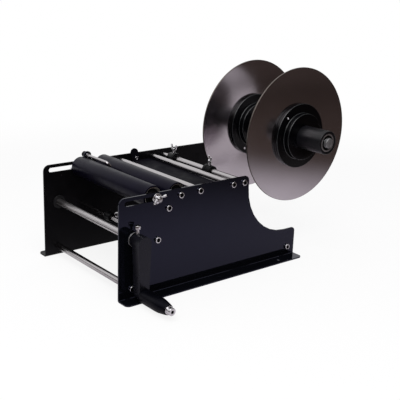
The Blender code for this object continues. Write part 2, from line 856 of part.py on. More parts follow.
def add_bottle_stop(holder):
    """A bracket on the far plate, and a bent rod that slides through it and sets where the bottle ends."""
    low_x = -bar_end_x
    shape = tapered_outline((stop_bracket_y, stop_bracket_foot_z), stop_bracket_radius,
                            (stop_bracket_y, stop_bracket_top_z), stop_bracket_radius)
    small_hole = small_screw_radius + running_clearance
    holes = [
        circle_points((stop_bracket_y, stop_bracket_foot_z), small_hole, screw_sides),
        circle_points((stop_rod_y, stop_rod_z), stop_rod_radius + running_clearance, screw_sides),
    ]
    bracket = upright_mesh("stop_bracket", [shape] + holes, lug_thickness, low_x)
    add_piece("stop_bracket", bracket, black_enamel, holder)
    place = (0, stop_rod_y, stop_rod_z)
    slide = empty("stop_rod_slide", place, holder)
    knob_high = low_x - touch_gap
    knob_low = knob_high - stop_knob_length
    rod_low = knob_low + stop_knob_wall + touch_gap
    path = [Vector((rod_low, 0, 0))] + stop_rod_path()
    add_piece("stop_rod", wire_mesh("stop_rod", path, stop_rod_radius), polished_steel, slide, place)
    bore = stop_rod_radius + touch_gap
    floor = knob_low + stop_knob_wall
    profile = [(floor, 0), (floor, bore), (knob_high, bore), (knob_high, stop_knob_radius),
               (knob_low, stop_knob_radius), (knob_low, 0)]
    add_piece("stop_knob", turned_mesh("stop_knob", profile, bar_sides), black_plastic, slide, place)


def add_take_up(holder, spin_holder):
    """The shaft that winds the backing paper, with a head at its far end, and its two bushes."""
    head_low = -(outer_x + touch_gap + take_up_head_length)
    head_high = head_low + take_up_head_length
    profile = [(crank_arm_x, 0), (crank_arm_x, take_up_radius), (head_high, take_up_radius),
               (head_high, take_up_head_radius), (head_low, take_up_head_radius), (head_low, 0)]
    place = (0, take_up_y, take_up_z)
    shaft = turned_mesh("take_up_shaft", profile, round_sides)
    slit_half = inner_x - take_up_slit_margin
    slit_low = -take_up_slit_width / 2
    corners = [(-slit_half, slit_low), (slit_half, slit_low), (slit_half, -slit_low), (-slit_half, -slit_low)]
    slit = sheet_mesh("slit", [corners], 2 * take_up_slit_depth)
    slit.transform(Matrix.Rotation(math.pi / 2, 4, "X"))
    shaft = cut("take_up_shaft", shaft, placed(slit, y=-take_up_radius))
    add_piece("take_up_shaft", shaft, polished_steel, spin_holder, place)
    bore = take_up_radius + running_clearance
    flange_low = outer_x + touch_gap
    flange_high = flange_low + bush_flange_thickness
    near = [(flange_high, bore), (flange_high, bush_flange_radius), (flange_low, bush_flange_radius),
            (flange_low, bush_radius), (inner_x, bush_radius), (inner_x, bore)]
    add_piece("near_take_up_bush", turned_mesh("bush", near, bar_sides), black_plastic, holder, place)
    flange_low = -bar_end_x
    flange_high = flange_low + bush_flange_thickness
    far = [(flange_high, bore), (flange_high, bush_flange_radius), (flange_low, bush_flange_radius),
           (flange_low, bush_radius), (-outer_x, bush_radius), (-outer_x, bore)]
    add_piece("far_take_up_bush", turned_mesh("bush", far, bar_sides), black_plastic, holder, place)


def add_crank(spin_holder):
    """The crank: a hub with a neck on the shaft, a tapered arm, and a clamp screw on top."""
    place = (0, take_up_y, take_up_z)
    hub_profile = [(crank_face_x - crank_edge, 0), (crank_face_x - crank_edge, crank_hub_radius - crank_edge),
                   (crank_hub_x, crank_hub_radius - crank_edge), (crank_hub_x, crank_neck_radius),
                   (crank_seat_x, crank_neck_radius), (crank_seat_x, 0)]
    rim = [(crank_arm_x + crank_edge, 0), (crank_arm_x + crank_edge, crank_hub_radius),
           (crank_hub_x, crank_hub_radius), (crank_hub_x, 0)]
    hub = fuse("crank_arm", turned_mesh("crank_arm", hub_profile, round_sides),
               turned_mesh("crank_rim", rim, round_sides))
    outline = tapered_outline((0, -crank_length), crank_end_radius, (0, 0), crank_hub_radius + touch_gap)
    arm = upright_mesh("crank_bar", [outline], crank_arm_thickness, crank_arm_x)
    arm = fuse("crank_arm", arm, hub)
    bore = turned_mesh("bore", solid_profile(crank_seat_x - cut_overrun, crank_arm_x + touch_gap,
                                             take_up_radius + running_clearance), round_sides)
    arm = cut("crank_arm", arm, bore)
    hold_low = crank_face_x - grip_screw_hold - touch_gap
    screw_hole = turned_mesh("hole", solid_profile(hold_low, crank_face_x + cut_overrun,
                                                   grip_screw_radius + running_clearance), bar_sides)
    arm = cut("crank_arm", arm, placed(screw_hole, z=-crank_length))
    clamp_x = crank_hub_x + crank_hub_length / 2
    clamp_hole = upright_pin("hole", screw_radius + running_clearance, 0, crank_hub_radius + cut_overrun,
                             screw_sides)
    arm = cut("crank_arm", arm, placed(clamp_hole, x=clamp_x))
    add_piece("crank_arm", arm, black_enamel, spin_holder, place)
    clamp_tip = take_up_radius + running_clearance
    seat = crank_hub_radius + crank_clamp_height
    screw = socket_screw_mesh("crank_clamp_screw", crank_clamp_head_radius, crank_clamp_head_height,
                              screw_radius, seat - clamp_tip, socket_radius, socket_depth, screw_head_edge)
    add_piece("crank_clamp_screw", placed(screw, z=seat), zinc_steel, spin_holder,
              (clamp_x, take_up_y, take_up_z))


def add_grip(spin_holder, grip_holder):
    """The grip, which turns on its screw, and the screw with its flanged head."""
    place = (0, take_up_y, take_up_z - crank_length)
    outer = [(grip_x + share * grip_length, radius_share * grip_radius)
             for share, radius_share in zip(grip_place_shares, grip_radius_shares)]
    profile = [(grip_end_x, grip_bore_radius)] + outer[::-1] + [(grip_x, grip_bore_radius)]
    add_piece("crank_grip", turned_mesh("crank_grip", profile, round_sides), black_plastic, grip_holder, place)
    head = grip_head_height
    edge = screw_head_edge
    flange = -grip_flange_thickness
    tip = crank_face_x - grip_screw_hold - grip_head_x
    profile = [(head, 0), (head, grip_head_radius - edge), (head - edge, grip_head_radius), (0, grip_head_radius),
               (0, grip_flange_radius), (flange, grip_flange_radius), (flange, grip_screw_radius),
               (tip, grip_screw_radius), (tip, 0)]
    body = turned_mesh("grip_screw", profile, bar_sides, lie_along_x=False)
    hexagon = upright_pin("hexagon", grip_socket_radius, head - grip_socket_depth, head + cut_overrun, hex_sides)
    screw = cut("grip_screw", body, hexagon)
    screw.transform(Matrix.Translation((grip_head_x, 0, 0)) @ lying(1))
    add_piece("grip_screw", screw, zinc_steel, spin_holder, place)


def add_reel_axle(holder):
    """The fixed axle: a shoulder inside the far plate, a nut outside it, and an end cap at the near end."""
    place = (0, reel_y, reel_z)
    low_x = -(inner_x - touch_gap)
    nut_low = -(outer_x + touch_gap + axle_nut_thickness)
    profile = [(axle_face_x, 0), (axle_face_x, axle_radius), (low_x + axle_shoulder_length, axle_radius),
               (low_x + axle_shoulder_length, axle_shoulder_radius), (low_x, axle_shoulder_radius),
               (low_x, axle_radius), (nut_low - touch_gap, axle_radius), (nut_low - touch_gap, 0)]
    add_piece("reel_axle", turned_mesh("reel_axle", profile, bar_sides), polished_steel, holder, place)
    nut = turned_mesh("reel_axle_nut", solid_profile(nut_low, nut_low + axle_nut_thickness, axle_nut_radius),
                      hex_sides)
    bore = turned_mesh("bore", solid_profile(nut_low - cut_overrun, -outer_x,
                                             axle_radius + running_clearance), bar_sides)
    add_piece("reel_axle_nut", cut("reel_axle_nut", nut, bore), zinc_steel, holder, place)
    end_low = axle_face_x + touch_gap
    profile = solid_profile(end_low, end_low + axle_end_length, axle_end_radius, hub_edge)
    add_piece("reel_axle_cap", turned_mesh("reel_axle_cap", profile, bar_sides), zinc_steel, holder, place)


def add_spindle(spin_holder):
    """The tube that turns on the axle, with a bearing in each end."""
    place = (0, reel_y, reel_z)
    bore = bearing_radius + touch_gap
    tube = turned_mesh("reel_spindle", ring_profile(spindle_far_x, spindle_near_x, spindle_radius, bore),
                       round_sides)
    add_piece("reel_spindle", tube, black_plastic, spin_holder, place)
    inner = axle_radius + running_clearance
    near_low = spindle_near_x - bearing_recess - bearing_width
    for end, low in (("far", spindle_far_x + bearing_recess), ("near", near_low)):
        high = low + bearing_width
        seal_out = bearing_radius - bearing_rim
        seal = bearing_seal_depth
        profile = [(high, inner), (high, bearing_inner_radius), (high - seal, bearing_inner_radius),
                   (high - seal, seal_out), (high, seal_out), (high, bearing_radius), (low, bearing_radius),
                   (low, inner)]
        name = end + "_spindle_bearing"
        add_piece(name, turned_mesh(name, profile, round_sides), zinc_steel, spin_holder, place)


def add_flange(prefix, face_x, screw_angle, slide_holder):
    """A reel disc on its hub; face_x is the disc's face on the hub side."""
    place = (0, reel_y, reel_z)
    disc_low = face_x - disc_thickness
    hole = hub_spigot_radius + touch_gap
    disc = turned_mesh(prefix + "_disc", ring_profile(disc_low, face_x, disc_radius, hole), fine_sides)
    add_piece(prefix + "_disc", disc, mirror_aluminium, slide_holder, place)
    low = face_x + touch_gap
    step = low + hub_flange_thickness
    top = step + hub_boss_length
    bore = spindle_radius + running_clearance
    profile = [
        (top, bore), (top, hub_boss_radius - hub_edge), (top - hub_edge, hub_boss_radius),
        (step, hub_boss_radius), (step, hub_flange_radius - hub_edge), (step - hub_edge, hub_flange_radius),
        (low, hub_flange_radius), (low, hub_spigot_radius), (disc_low, hub_spigot_radius), (disc_low, bore),
    ]
    hub = turned_mesh(prefix + "_hub", profile, round_sides)
    at_y = hub_screw_circle * math.cos(screw_angle)
    at_z = hub_screw_circle * math.sin(screw_angle)
    hole_low = step - hub_screw_length - touch_gap
    hole = turned_mesh("hole", solid_profile(hole_low, step + cut_overrun,
                                             hub_screw_radius + running_clearance), screw_sides)
    hub = cut(prefix + "_hub", hub, placed(hole, y=at_y, z=at_z))
    add_piece(prefix + "_hub", hub, black_plastic, slide_holder, place)
    seat = step + touch_gap
    head = seat + hub_screw_head_height
    profile = [(head, 0), (head, hub_screw_head_radius), (seat, hub_screw_head_radius), (seat, hub_screw_radius),
               (step - hub_screw_length, hub_screw_radius), (step - hub_screw_length, 0)]
    screw = turned_mesh(prefix + "_hub_screw", profile, screw_sides)
    add_piece(prefix + "_hub_screw", placed(screw, y=at_y, z=at_z), zinc_steel, slide_holder, place)


def build():
    middle = (-(machine_far_x + machine_near_x) / 2, -machine_back_y / 2, 0)
    machine = empty("labeling_machine_frame", middle)
    add_near_plate(machine)
    add_far_plate(machine)
    add_bars(machine)
    add_bar_screws(machine)
    add_peel_plate(machine)
    add_small_screws(machine)

    front_place = (0, front_roller_y, front_roller_z)
    carriage = empty("front_roller_slide", front_place, machine)
    front_spin = empty("front_roller_spin", front_place, carriage)
    add_front_axle(carriage)
    add_roller("front", front_roller_y, front_roller_z, front_spin)
    add_wing_nuts(carriage)
    rear_spin = empty("rear_roller_spin", (0, rear_roller_y, rear_roller_z), machine)
    add_roller("rear", rear_roller_y, rear_roller_z, rear_spin)

    far_place = (far_collar_x, guide_bar_y, web_bar_z)
    near_place = (near_collar_x, guide_bar_y, web_bar_z)
    lower_place = (lower_collar_x, lower_guide_bar_y, lower_guide_bar_z)
    add_guide_collar("far", far_place, bar_radius, collar_radius, collar_length, False,
                     upright_lean, far_lock_angle, machine)
    add_guide_collar("near", near_place, bar_radius, collar_radius, collar_length, True,
                     upright_lean, near_lock_angle, machine)
    add_guide_collar("lower", lower_place, lower_guide_bar_radius, lower_collar_radius, lower_collar_length,
                     True, backward_lean, lower_lock_angle, machine)
    add_bottle_stop(machine)

    crank_spin = empty("crank_spin", (0, take_up_y, take_up_z), machine)
    grip_spin = empty("grip_spin", (0, take_up_y, take_up_z - crank_length), crank_spin)
    add_take_up(machine, crank_spin)
    add_crank(crank_spin)
    add_grip(crank_spin, grip_spin)

    reel_spin = empty("reel_spin", (0, reel_y, reel_z), machine)
    add_reel_axle(machine)
    add_spindle(reel_spin)
    far_slide = empty("far_flange_slide", (far_disc_x, reel_y, reel_z), reel_spin)
    near_slide = empty("near_flange_slide", (near_disc_x, reel_y, reel_z), reel_spin)
    add_flange("far", far_disc_x, far_hub_screw_angle, far_slide)
    add_flange("near", near_disc_x, near_hub_screw_angle, near_slide)

    for piece in machine_parts.objects:
        if piece.type == "MESH":
            shade(piece.data)


build()
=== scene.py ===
"""The looks of a hand-cranked label applicator for round bottles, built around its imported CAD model.

X runs across the machine to the crank side, Y runs from the operator to the label roll, and Z is up.
Sizes are in metres, in the machine's own frame: X is zero midway between the side plates, Y is zero at
their front edge and Z is zero under their feet. machine_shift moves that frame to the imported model's.
A profile is a list of corners, each with its place along X, its radius and, if it is rounded, a fillet.
"""

import json
import math

import bmesh
import bpy
from mathutils import Matrix, Vector


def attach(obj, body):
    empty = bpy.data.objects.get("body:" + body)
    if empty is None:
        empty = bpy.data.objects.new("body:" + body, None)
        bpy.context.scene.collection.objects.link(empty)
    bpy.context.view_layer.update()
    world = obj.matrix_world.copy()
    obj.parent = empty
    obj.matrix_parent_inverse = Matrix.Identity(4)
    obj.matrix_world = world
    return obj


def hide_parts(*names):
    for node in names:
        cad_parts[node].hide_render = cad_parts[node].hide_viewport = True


machine_shift = (-0.04155, -0.2925, 0)

# Fits and fineness
gap = 0.0003
cut_overrun = 0.002
disc_sides = 240
hub_sides = 192
roller_sides = 160
spindle_sides = 128
round_sides = 96
bar_sides = 64
small_sides = 40
hex_sides = 6
fillet_steps = 4
smooth_angle = math.radians(32)
weld_distance = 0.00002
edge_angle = math.radians(35)
edge_steps = 3

# Side plates
inner_x = 0.125
outer_x = 0.1275
bar_end_x = inner_x - gap
seat_x = outer_x + gap
plate_edge = 0.0004

# Bars between the plates: place along Y, height and radius
bar_radius = 0.006
thin_bar_radius = 0.004
axle_bar_radius = 0.0045
bar_chamfer = 0.0007
rivet_neck = 0.0025
rivet_head_radius = 0.0038
rivet_head_height = 0.0018
rivet_head_edge = 0.0005
rivet_crown = 0.0007
bars = {
    "peel_bar": (0.1680, 0.1690, bar_radius),
    "web_bar": (0.2445, 0.1683, bar_radius),
    "guide_bar": (0.2707, 0.1683, bar_radius),
    "lower_guide_bar": (0.0780, 0.0962, thin_bar_radius),
    "middle_tie_bar": (0.1000, 0.1490, bar_radius),
    "front_tie_bar": (0.0265, 0.0190, bar_radius),
    "rear_tie_bar": (0.3935, 0.0190, bar_radius),
    "rear_roller_axle": (0.1256, 0.1680, axle_bar_radius),
}

# Screws: head radius, height and edge, shank radius and length, socket radius and the socket's floor
bar_screw = (0.0056, 0.0034, 0.0012, 0.0025, 0.012, 0.0039, 0.0006)
small_screw = (0.0042, 0.0026, 0.0006, 0.002, 0.0058, 0.002, 0.0013)
clamp_screw = (0.005, 0.006, 0.0007, 0.0025, 0.01445, 0.0029, 0.0036)
grip_screw = (0.0066, 0.008, 0.0009, 0.004, 0.0811, 0.0033, 0.004)
hub_screw = (0.0024, 0.0014, 0.0005, 0.0014, 0.006, 0.0012, 0.0006)
grip_flange_radius = 0.0077
grip_flange_thickness = 0.0018
flange_edge = 0.0004
head_flat_share = 0.70
seat_edge_share = 0.5
socket_wall_share = 0.97
lug_thickness = 0.003
peel_screw_y = 0.2045
peel_screw_z = 0.1692
stop_screw_y = 0.0925
stop_screw_z = 0.1636

# Rollers, their bearings and the front roller's axle
front_roller_y = 0.0758
front_roller_z = 0.1697
roller_near_x = 0.116
roller_far_x = -0.121
roller_radius = 0.0193
roller_wall = 0.0028
roller_edge = 0.0009
roller_bore_edge = 0.0004
cap_recess = 0.0025
cap_thickness = 0.008
cap_dish_depth = 0.0014
cap_nose_radius = 0.0056
cap_inner_rim = 0.0080
cap_dish_inner = 0.0084
cap_dish_outer = 0.0136
cap_outer_rim = 0.0140
cap_edge = 0.0003
stud_end_x = 0.138
stud_radius = 0.004
stud_tip_edge = 0.0006
stud_shoulder_edge = 0.0004
washer_thickness = 0.0015
washer_bore = 0.0043
washer_radius = 0.009
washer_edge = 0.0004

# Small castings: how finely each is made again, and how far it is softened
casting_voxels = {
    "near_wing_nut": 0.0004,
    "far_wing_nut": 0.0004,
    "far_wing_screw": 0.00035,
    "near_wing_screw": 0.00035,
    "lower_wing_screw": 0.00035,
}
soften_share = 0.5
soften_rounds = 4

# Guide collars: the bar, place along X, radius, length, the lock screw's lean, and if the flange is low
collars = {
    "far": ("guide_bar", -0.095, 0.012, 0.020, 0, False),
    "near": ("guide_bar", 0.019, 0.012, 0.020, 0, True),
    "lower": ("lower_guide_bar", -0.030, 0.0088, 0.016, math.radians(-90), True),
}
collar_shoulder_share = 0.90
collar_flange_share = 0.35
collar_edge = 0.0010
collar_step_edge = 0.0007
collar_bore_edge = 0.0004
lock_hole_radius = 0.0028
lock_hole_reach = 0.02

# Bottle stop
stop_rod_y = 0.0918
stop_rod_z = 0.1895
stop_rod_radius = 0.003
stop_rod_far_x = -0.1330
stop_rod_corner_x = -0.053
stop_rod_leg = (0.002, 0.0065, -0.0075)
stop_rod_bend = 0.005
bend_steps = 12
tip_place_share = 0.97
tip_radius_share = 0.86
rod_roundness = 10
stop_bracket_thickness = 0.003
stop_bush_length = 0.002
stop_bush_bore = 0.0033
stop_bush_radius = 0.0044
stop_bush_edge = 0.0003
knob_profile = [
    (stop_rod_far_x, 0), (stop_rod_far_x, 0.0033), (-0.1250, 0.0033, 0.0003), (-0.1250, 0.0058, 0.0006),
    (-0.1300, 0.0058, 0.0005), (-0.1308, 0.0052, 0.0005), (-0.1316, 0.0058, 0.0005),
    (-0.1345, 0.0058, 0.0015), (-0.1345, 0)]

# Take-up shaft and its bushes
take_up_y = 0.0307
take_up_z = 0.1063
take_up_near_x = 0.140
take_up_radius = 0.00625
take_up_head_radius = 0.009
take_up_head_length = 0.0062
take_up_head_edge = 0.0004
take_up_head_crown = 0.0010
slit_sizes = (0.190, 0.0060, 0.0022)
bush_flange_thickness = 0.0017
bush_flange_radius = 0.0125
bush_flange_edge = 0.0005
bush_spigot_radius = 0.0092
bush_rim_start = 0.0119

# Crank and grip
crank_edge = 0.0012
clamp_screw_x = 0.1370
clamp_screw_z = 0.1273
grip_screw_x = 0.2281
grip_x = 0.1593
grip_z = 0.0163
grip_length = 0.0667
grip_radius = 0.013
grip_bore = 0.0046
grip_steps = 6
grip_place_shares = (0.0, 0.03, 0.30, 0.60, 0.72, 0.84, 0.94, 0.985, 1.0)
grip_radius_shares = (0.93, 0.99, 1.0, 0.995, 0.95, 0.85, 0.755, 0.70, 0.66)

# Reel
reel_place = (0, 0.4514, 0.2275)
spindle_radius = 0.023
spindle_profile = [
    (0.162, 0.0178, 0.0006), (0.162, spindle_radius, 0.0016), (-0.1177, spindle_radius, 0.0010),
    (-0.1177, 0.0178, 0.0005)]
bearing_places = {"far": -0.1167, "near": 0.150}
seal_inner = 0.0098
seal_outer = 0.0147
bearing_profile = [
    (0.011, 0.0078, 0.0004), (0.011, seal_inner, 0.0003), (0.0102, 0.0099), (0.0102, 0.0146),
    (0.011, seal_outer, 0.0003), (0.011, 0.0175, 0.0006), (0, 0.0175, 0.0006), (0, 0.0078, 0.0004)]
axle_end_x = 0.1613
axle_radius = 0.0075
axle_shoulder_length = 0.006
axle_shoulder_radius = 0.014
axle_shoulder_edge = 0.0010
axle_tip_edge = 0.0008
axle_nut_thickness = 0.009
axle_nut_edge = 0.0006
end_cap_profile = [
    (0.1668, 0), (0.1668, 0.0052), (0.1664, 0.0056), (0.1668, 0.0060), (0.1668, 0.0095, 0.0014),
    (0.1616, 0.0095, 0.0004), (0.1616, 0)]

# Flanges of the reel: the disc's place along X and the angle of the hub's screw
flanges = {"far": (-0.050, math.radians(-121)), "near": (0.0805, math.radians(135))}
disc_radius = 0.1336
disc_thickness = 0.003
disc_bore = 0.0303
disc_edge = 0.0006
hub_flange_radius = 0.064
hub_flange_thickness = 0.0085
hub_flange_edge = 0.0009
hub_seat_edge = 0.0004
hub_boss_radius = 0.046
hub_boss_length = 0.012
hub_boss_edge = 0.0009
hub_boss_root = 0.0010
hub_spigot_radius = 0.030
hub_bore_edge = 0.0006
hub_bore_low_edge = 0.0004
# Slopes of the hub faces, towards +X, that get the painted edge highlight
hub_edge_highlight_slopes = (0.15, 0.95)
hub_screw_circle = 0.055
hub_hole_radius = 0.0017
hub_hole_depth = 0.0063

# Noise in the finishes: its detail, the part of its range that is used, and the depth of the bumps
colour_detail = 5
roughness_detail = 4
enamel_roughness_detail = 6
bump_detail = 3
roughness_noise_shares = (0.3, 0.7)
colour_noise_shares = (0.35, 0.68)
fine_bump_depth = 0.0001
bump_depth = 0.0002

# Each kind of finish: the noise scales of its colour, roughness and bump, and the shares of its own
# colour and roughness between which it varies
enamel_scales = (22, 34, 420)
enamel_colour_shares = (0.86, 1.12)
enamel_roughness_shares = (0.8, 1.35)
moulded_scales = (40, 60, 1500)
moulded_colour_shares = (0.82, 1.18)
moulded_roughness_shares = (0.85, 1.2)
ground_colour_shares = (0.86, 1.06)
ground_roughness_shares = (0.7, 1.4)
plated_scales = (300, 420, 900)
plated_colour_shares = (0.8, 1)
plated_roughness_shares = (0.8, 1.3)
plated_bump = 0.12
sheet_scales = (9, 16, 260)
sheet_colour_shares = (0.93, 1.05)
sheet_roughness_shares = (0.9, 1.15)
sheet_bump = 0.02
metal_specular = 0.5
untinted = (1, 1, 1)
even = (1, 1, 1)

# Enamels: colour, roughness, specular level, orange peel and the tint of the gloss
enamels = {
    "plate_enamel": ((0.0028, 0.0033, 0.0050), 0.06, 0.36, 0.010, (0.56, 0.57, 1.0)),
    # The far plate's enamel is a duller, less glossy copy of the plate enamel: painted shade for the far
    # plate's shaded inner face
    "far_enamel": ((0.0027, 0.0025, 0.0030), 0.40, 0.11, 0.03, (0.95, 0.92, 1.0)),
    "crank_enamel": ((0.0060, 0.0062, 0.0086), 0.26, 0.32, 0.06, (0.8, 0.8, 1.0)),
    # The peel plate's enamel is a matt copy of the plate enamel with almost no gloss: painted shade
    "peel_enamel": ((0.0046, 0.0042, 0.0072), 0.55, 0.03, 0.03, untinted),
}

# Plastics and blackened metals: colour, roughness, specular level, grain and the tint of the gloss
blacks = {
    "roller_anodised": ((0.0036, 0.0032, 0.0090), 0.33, 0.095, 0.06, (0.75, 0.68, 1.0)),
    "grip_plastic": ((0.0014, 0.0015, 0.0030), 0.32, 0.10, 0.08, (0.8, 0.8, 1.0)),
    "bearing_black": ((0.0060, 0.0060, 0.0070), 0.45, 0.35, 0.10, untinted),
    "collar_black": ((0.0022, 0.0022, 0.0030), 0.28, 0.10, 0.08, untinted),
    "hub_black": ((0.0016, 0.0016, 0.0024), 0.20, 0.20, 0.06, untinted),
    # A lighter, glossier black for the hubs' rounded edges that face +X: a painted highlight
    "hub_edge": ((0.022, 0.026, 0.028), 0.24, 0.80, 0.04, untinted),
    "spindle_black": ((0.0060, 0.0060, 0.0080), 0.32, 0.35, 0.06, untinted),
    # Painted shade for the walls and floors of screw sockets, also used as the bearing seals' very dark
    # finish
    "socket_shade": ((0.0030, 0.0030, 0.0030), 0.60, 0.10, 0.05, untinted),
}

# Ground metals: colour, roughness, how close the marks are along and across the bar, and their strength
ground_metals = {
    "bar_steel": ((0.47, 0.45, 0.46), 0.20, 6, 420, 0.05),
    "shaft_steel": ((0.52, 0.50, 0.51), 0.32, 8, 380, 0.06),
}

# Plated metals and polished sheets: colour and roughness
plated_metals = {
    "screw_steel": ((0.80, 0.79, 0.81), 0.20),
    "bearing_steel": ((0.70, 0.70, 0.72), 0.38),
    "cap_steel": ((0.40, 0.40, 0.41), 0.55),
    "bare_bore": ((0.86, 0.83, 0.78), 0.50),
}
polished_sheets = {
    "disc_aluminium": ((0.62, 0.58, 0.61), 0.17),
    "disc_rim": ((0.14, 0.12, 0.11), 0.30),
}

# The record's slot of each node that isn't a bright screw, nut, washer or end cap
slot_members = {
    "plate_enamel": ["near_side_plate", "far_side_plate", "peel_plate", "stop_bracket"],
    "crank_enamel": ["crank_arm"],
    "roller_anodised": ["front_roller", "rear_roller"],
    "bar_steel": [*bars, "reel_axle", "front_roller_axle", "stop_rod"],
    "shaft_steel": ["take_up_shaft"],
    "grip_plastic": ["crank_grip", "stop_knob"],
    "bearing_black": ["near_take_up_bush", "far_take_up_bush", "front_roller_near_bearing",
                      "front_roller_far_bearing", "rear_roller_near_bearing", "rear_roller_far_bearing"],
    "collar_black": ["far_guide_collar", "near_guide_collar", "lower_guide_collar"],
    "hub_black": ["near_hub", "far_hub"],
    "spindle_black": ["reel_spindle"],
    "disc_aluminium": ["near_disc", "far_disc"],
    "bearing_steel": ["near_spindle_bearing", "far_spindle_bearing"],
}

# Floor and room, with reaches from the machine's middle
floor_half_width = 6
# The floor's colour, seen by every ray but the camera's, is pale round the machine and fades to a darker
# floor: a painted pool of light
light_pool_reach = 0.22
light_pool_fade = 0.62
painted_light_pool_colour = (0.76, 0.72, 0.76)
room_floor_colour = (0.072, 0.053, 0.045)
shadow_reach = (0.74, 1.48)
shadow_share = 0.14
backdrop_reach = (-0.05, 0.32)
backdrop_share = 0.90
pale_side = (-0.58, 0.08, 0.81)
pale_edges = (0.36, 0.86)
pale_wall_colour = (0.75, 0.75, 0.78)
dark_wall_colour = (0.050, 0.037, 0.033)
white = (1, 1, 1, 1)

# Sockets of Blender's Mix node that hold colours
first_colour_socket = 6
second_colour_socket = 7
mixed_colour_socket = 2

# Lamp and camera. The lamp's power is in watts, and the camera's lens and sensor are in millimetres.
lamp_place = (0.9, -0.9, 2.0)
lamp_aim = (0, 0, 0.12)
lamp_width = 2.4
lamp_power = 46
camera_azimuth = math.radians(50.453)
camera_elevation = math.radians(16.910)
camera_roll = math.radians(2.035)
camera_place = (1.07952, -0.94438, 0.54342)
camera_lens = 69.44
camera_sensor = 36
camera_near = 0.01

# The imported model, with the slot and the body of each node
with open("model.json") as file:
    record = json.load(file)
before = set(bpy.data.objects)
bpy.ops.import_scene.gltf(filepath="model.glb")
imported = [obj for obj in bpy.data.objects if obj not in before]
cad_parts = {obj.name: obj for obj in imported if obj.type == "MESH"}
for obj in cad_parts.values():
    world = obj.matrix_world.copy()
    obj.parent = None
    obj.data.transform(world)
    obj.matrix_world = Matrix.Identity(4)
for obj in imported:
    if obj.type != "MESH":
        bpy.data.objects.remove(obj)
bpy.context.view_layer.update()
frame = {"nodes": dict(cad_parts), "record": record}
nodes = frame["nodes"]
slot_of = {name: "screw_steel" for name in nodes}
for slot, members in slot_members.items():
    for member in members:
        slot_of[member] = slot
body_of = {}
for body, members in frame["record"]["behaviour"]["bodies"].items():
    for member in members:
        body_of[member] = body


# Materials: one for each slot in the record, and a few for nodes or faces that look different
def new_material(name, colour, roughness, metallic, specular, tint=untinted):
    material = bpy.data.materials.new(name)
    material.use_nodes = True
    surface = material.node_tree.nodes["Principled BSDF"]
    surface.inputs["Base Color"].default_value = (*colour, 1)
    surface.inputs["Roughness"].default_value = roughness
    surface.inputs["Metallic"].default_value = metallic
    surface.inputs["Specular IOR Level"].default_value = specular
    surface.inputs["Specular Tint"].default_value = (*tint, 1)
    return material


def add_noise(material, scale, detail, stretch):
    """Noise in the object's own space, stretched along its axes."""
    tree = material.node_tree
    place = tree.nodes.new("ShaderNodeTexCoord")
    mapping = tree.nodes.new("ShaderNodeMapping")
    noise = tree.nodes.new("ShaderNodeTexNoise")
    mapping.inputs["Scale"].default_value = stretch
    noise.inputs["Scale"].default_value = scale
    noise.inputs["Detail"].default_value = detail
    tree.links.new(place.outputs["Object"], mapping.inputs["Vector"])
    tree.links.new(mapping.outputs["Vector"], noise.inputs["Vector"])
    return noise


def vary_roughness(material, scale, roughness, shares, stretch=even, detail=roughness_detail):
    tree = material.node_tree
    noise = add_noise(material, scale, detail, stretch)
    spread = tree.nodes.new("ShaderNodeMapRange")
    spread.inputs["From Min"].default_value = roughness_noise_shares[0]
    spread.inputs["From Max"].default_value = roughness_noise_shares[1]
    spread.inputs["To Min"].default_value = roughness * shares[0]
    spread.inputs["To Max"].default_value = roughness * shares[1]
    tree.links.new(noise.outputs["Fac"], spread.inputs["Value"])
    tree.links.new(spread.outputs["Result"], tree.nodes["Principled BSDF"].inputs["Roughness"])


def vary_colour(material, scale, colour, shares, stretch=even):
    tree = material.node_tree
    noise = add_noise(material, scale, colour_detail, stretch)
    ramp = tree.nodes.new("ShaderNodeValToRGB")
    for element, position, share in zip(ramp.color_ramp.elements, colour_noise_shares, shares):
        element.position = position
        element.color = (*(channel * share for channel in colour), 1)
    tree.links.new(noise.outputs["Fac"], ramp.inputs["Fac"])
    tree.links.new(ramp.outputs["Color"], tree.nodes["Principled BSDF"].inputs["Base Color"])


def add_bump(material, scale, strength, depth, stretch=even):
    tree = material.node_tree
    noise = add_noise(material, scale, bump_detail, stretch)
    bump = tree.nodes.new("ShaderNodeBump")
    bump.inputs["Strength"].default_value = strength
    bump.inputs["Distance"].default_value = depth
    tree.links.new(noise.outputs["Fac"], bump.inputs["Height"])
    tree.links.new(bump.outputs["Normal"], tree.nodes["Principled BSDF"].inputs["Normal"])


def enamel(name, colour, roughness, specular, orange_peel, tint):
    """Stoved enamel: a little orange peel, and faint handling marks in the gloss."""
    material = new_material(name, colour, roughness, metallic=0, specular=specular, tint=tint)
    colour_scale, roughness_scale, peel_scale = enamel_scales
    vary_colour(material, colour_scale, colour, enamel_colour_shares)
    vary_roughness(material, roughness_scale, roughness, enamel_roughness_shares,
                   detail=enamel_roughness_detail)
    add_bump(material, peel_scale, orange_peel, bump_depth)
    return material


def moulded(name, colour, roughness, specular, grain, tint):
    """Black plastic or blackened metal with a fine grain."""
    material = new_material(name, colour, roughness, metallic=0, specular=specular, tint=tint)
    colour_scale, roughness_scale, grain_scale = moulded_scales
    vary_colour(material, colour_scale, colour, moulded_colour_shares)
    vary_roughness(material, roughness_scale, roughness, moulded_roughness_shares)
    add_bump(material, grain_scale, grain, fine_bump_depth)
    return material


def ground_metal(name, colour, roughness, along, across, strength):
    """Metal with fine marks drawn out along X."""
    material = new_material(name, colour, roughness, metallic=1, specular=metal_specular)
    stretch = (along, across, across)
    vary_colour(material, 1, colour, ground_colour_shares, stretch)
    vary_roughness(material, 1, roughness, ground_roughness_shares, stretch)
    add_bump(material, 1, strength, bump_depth, stretch)
    return material


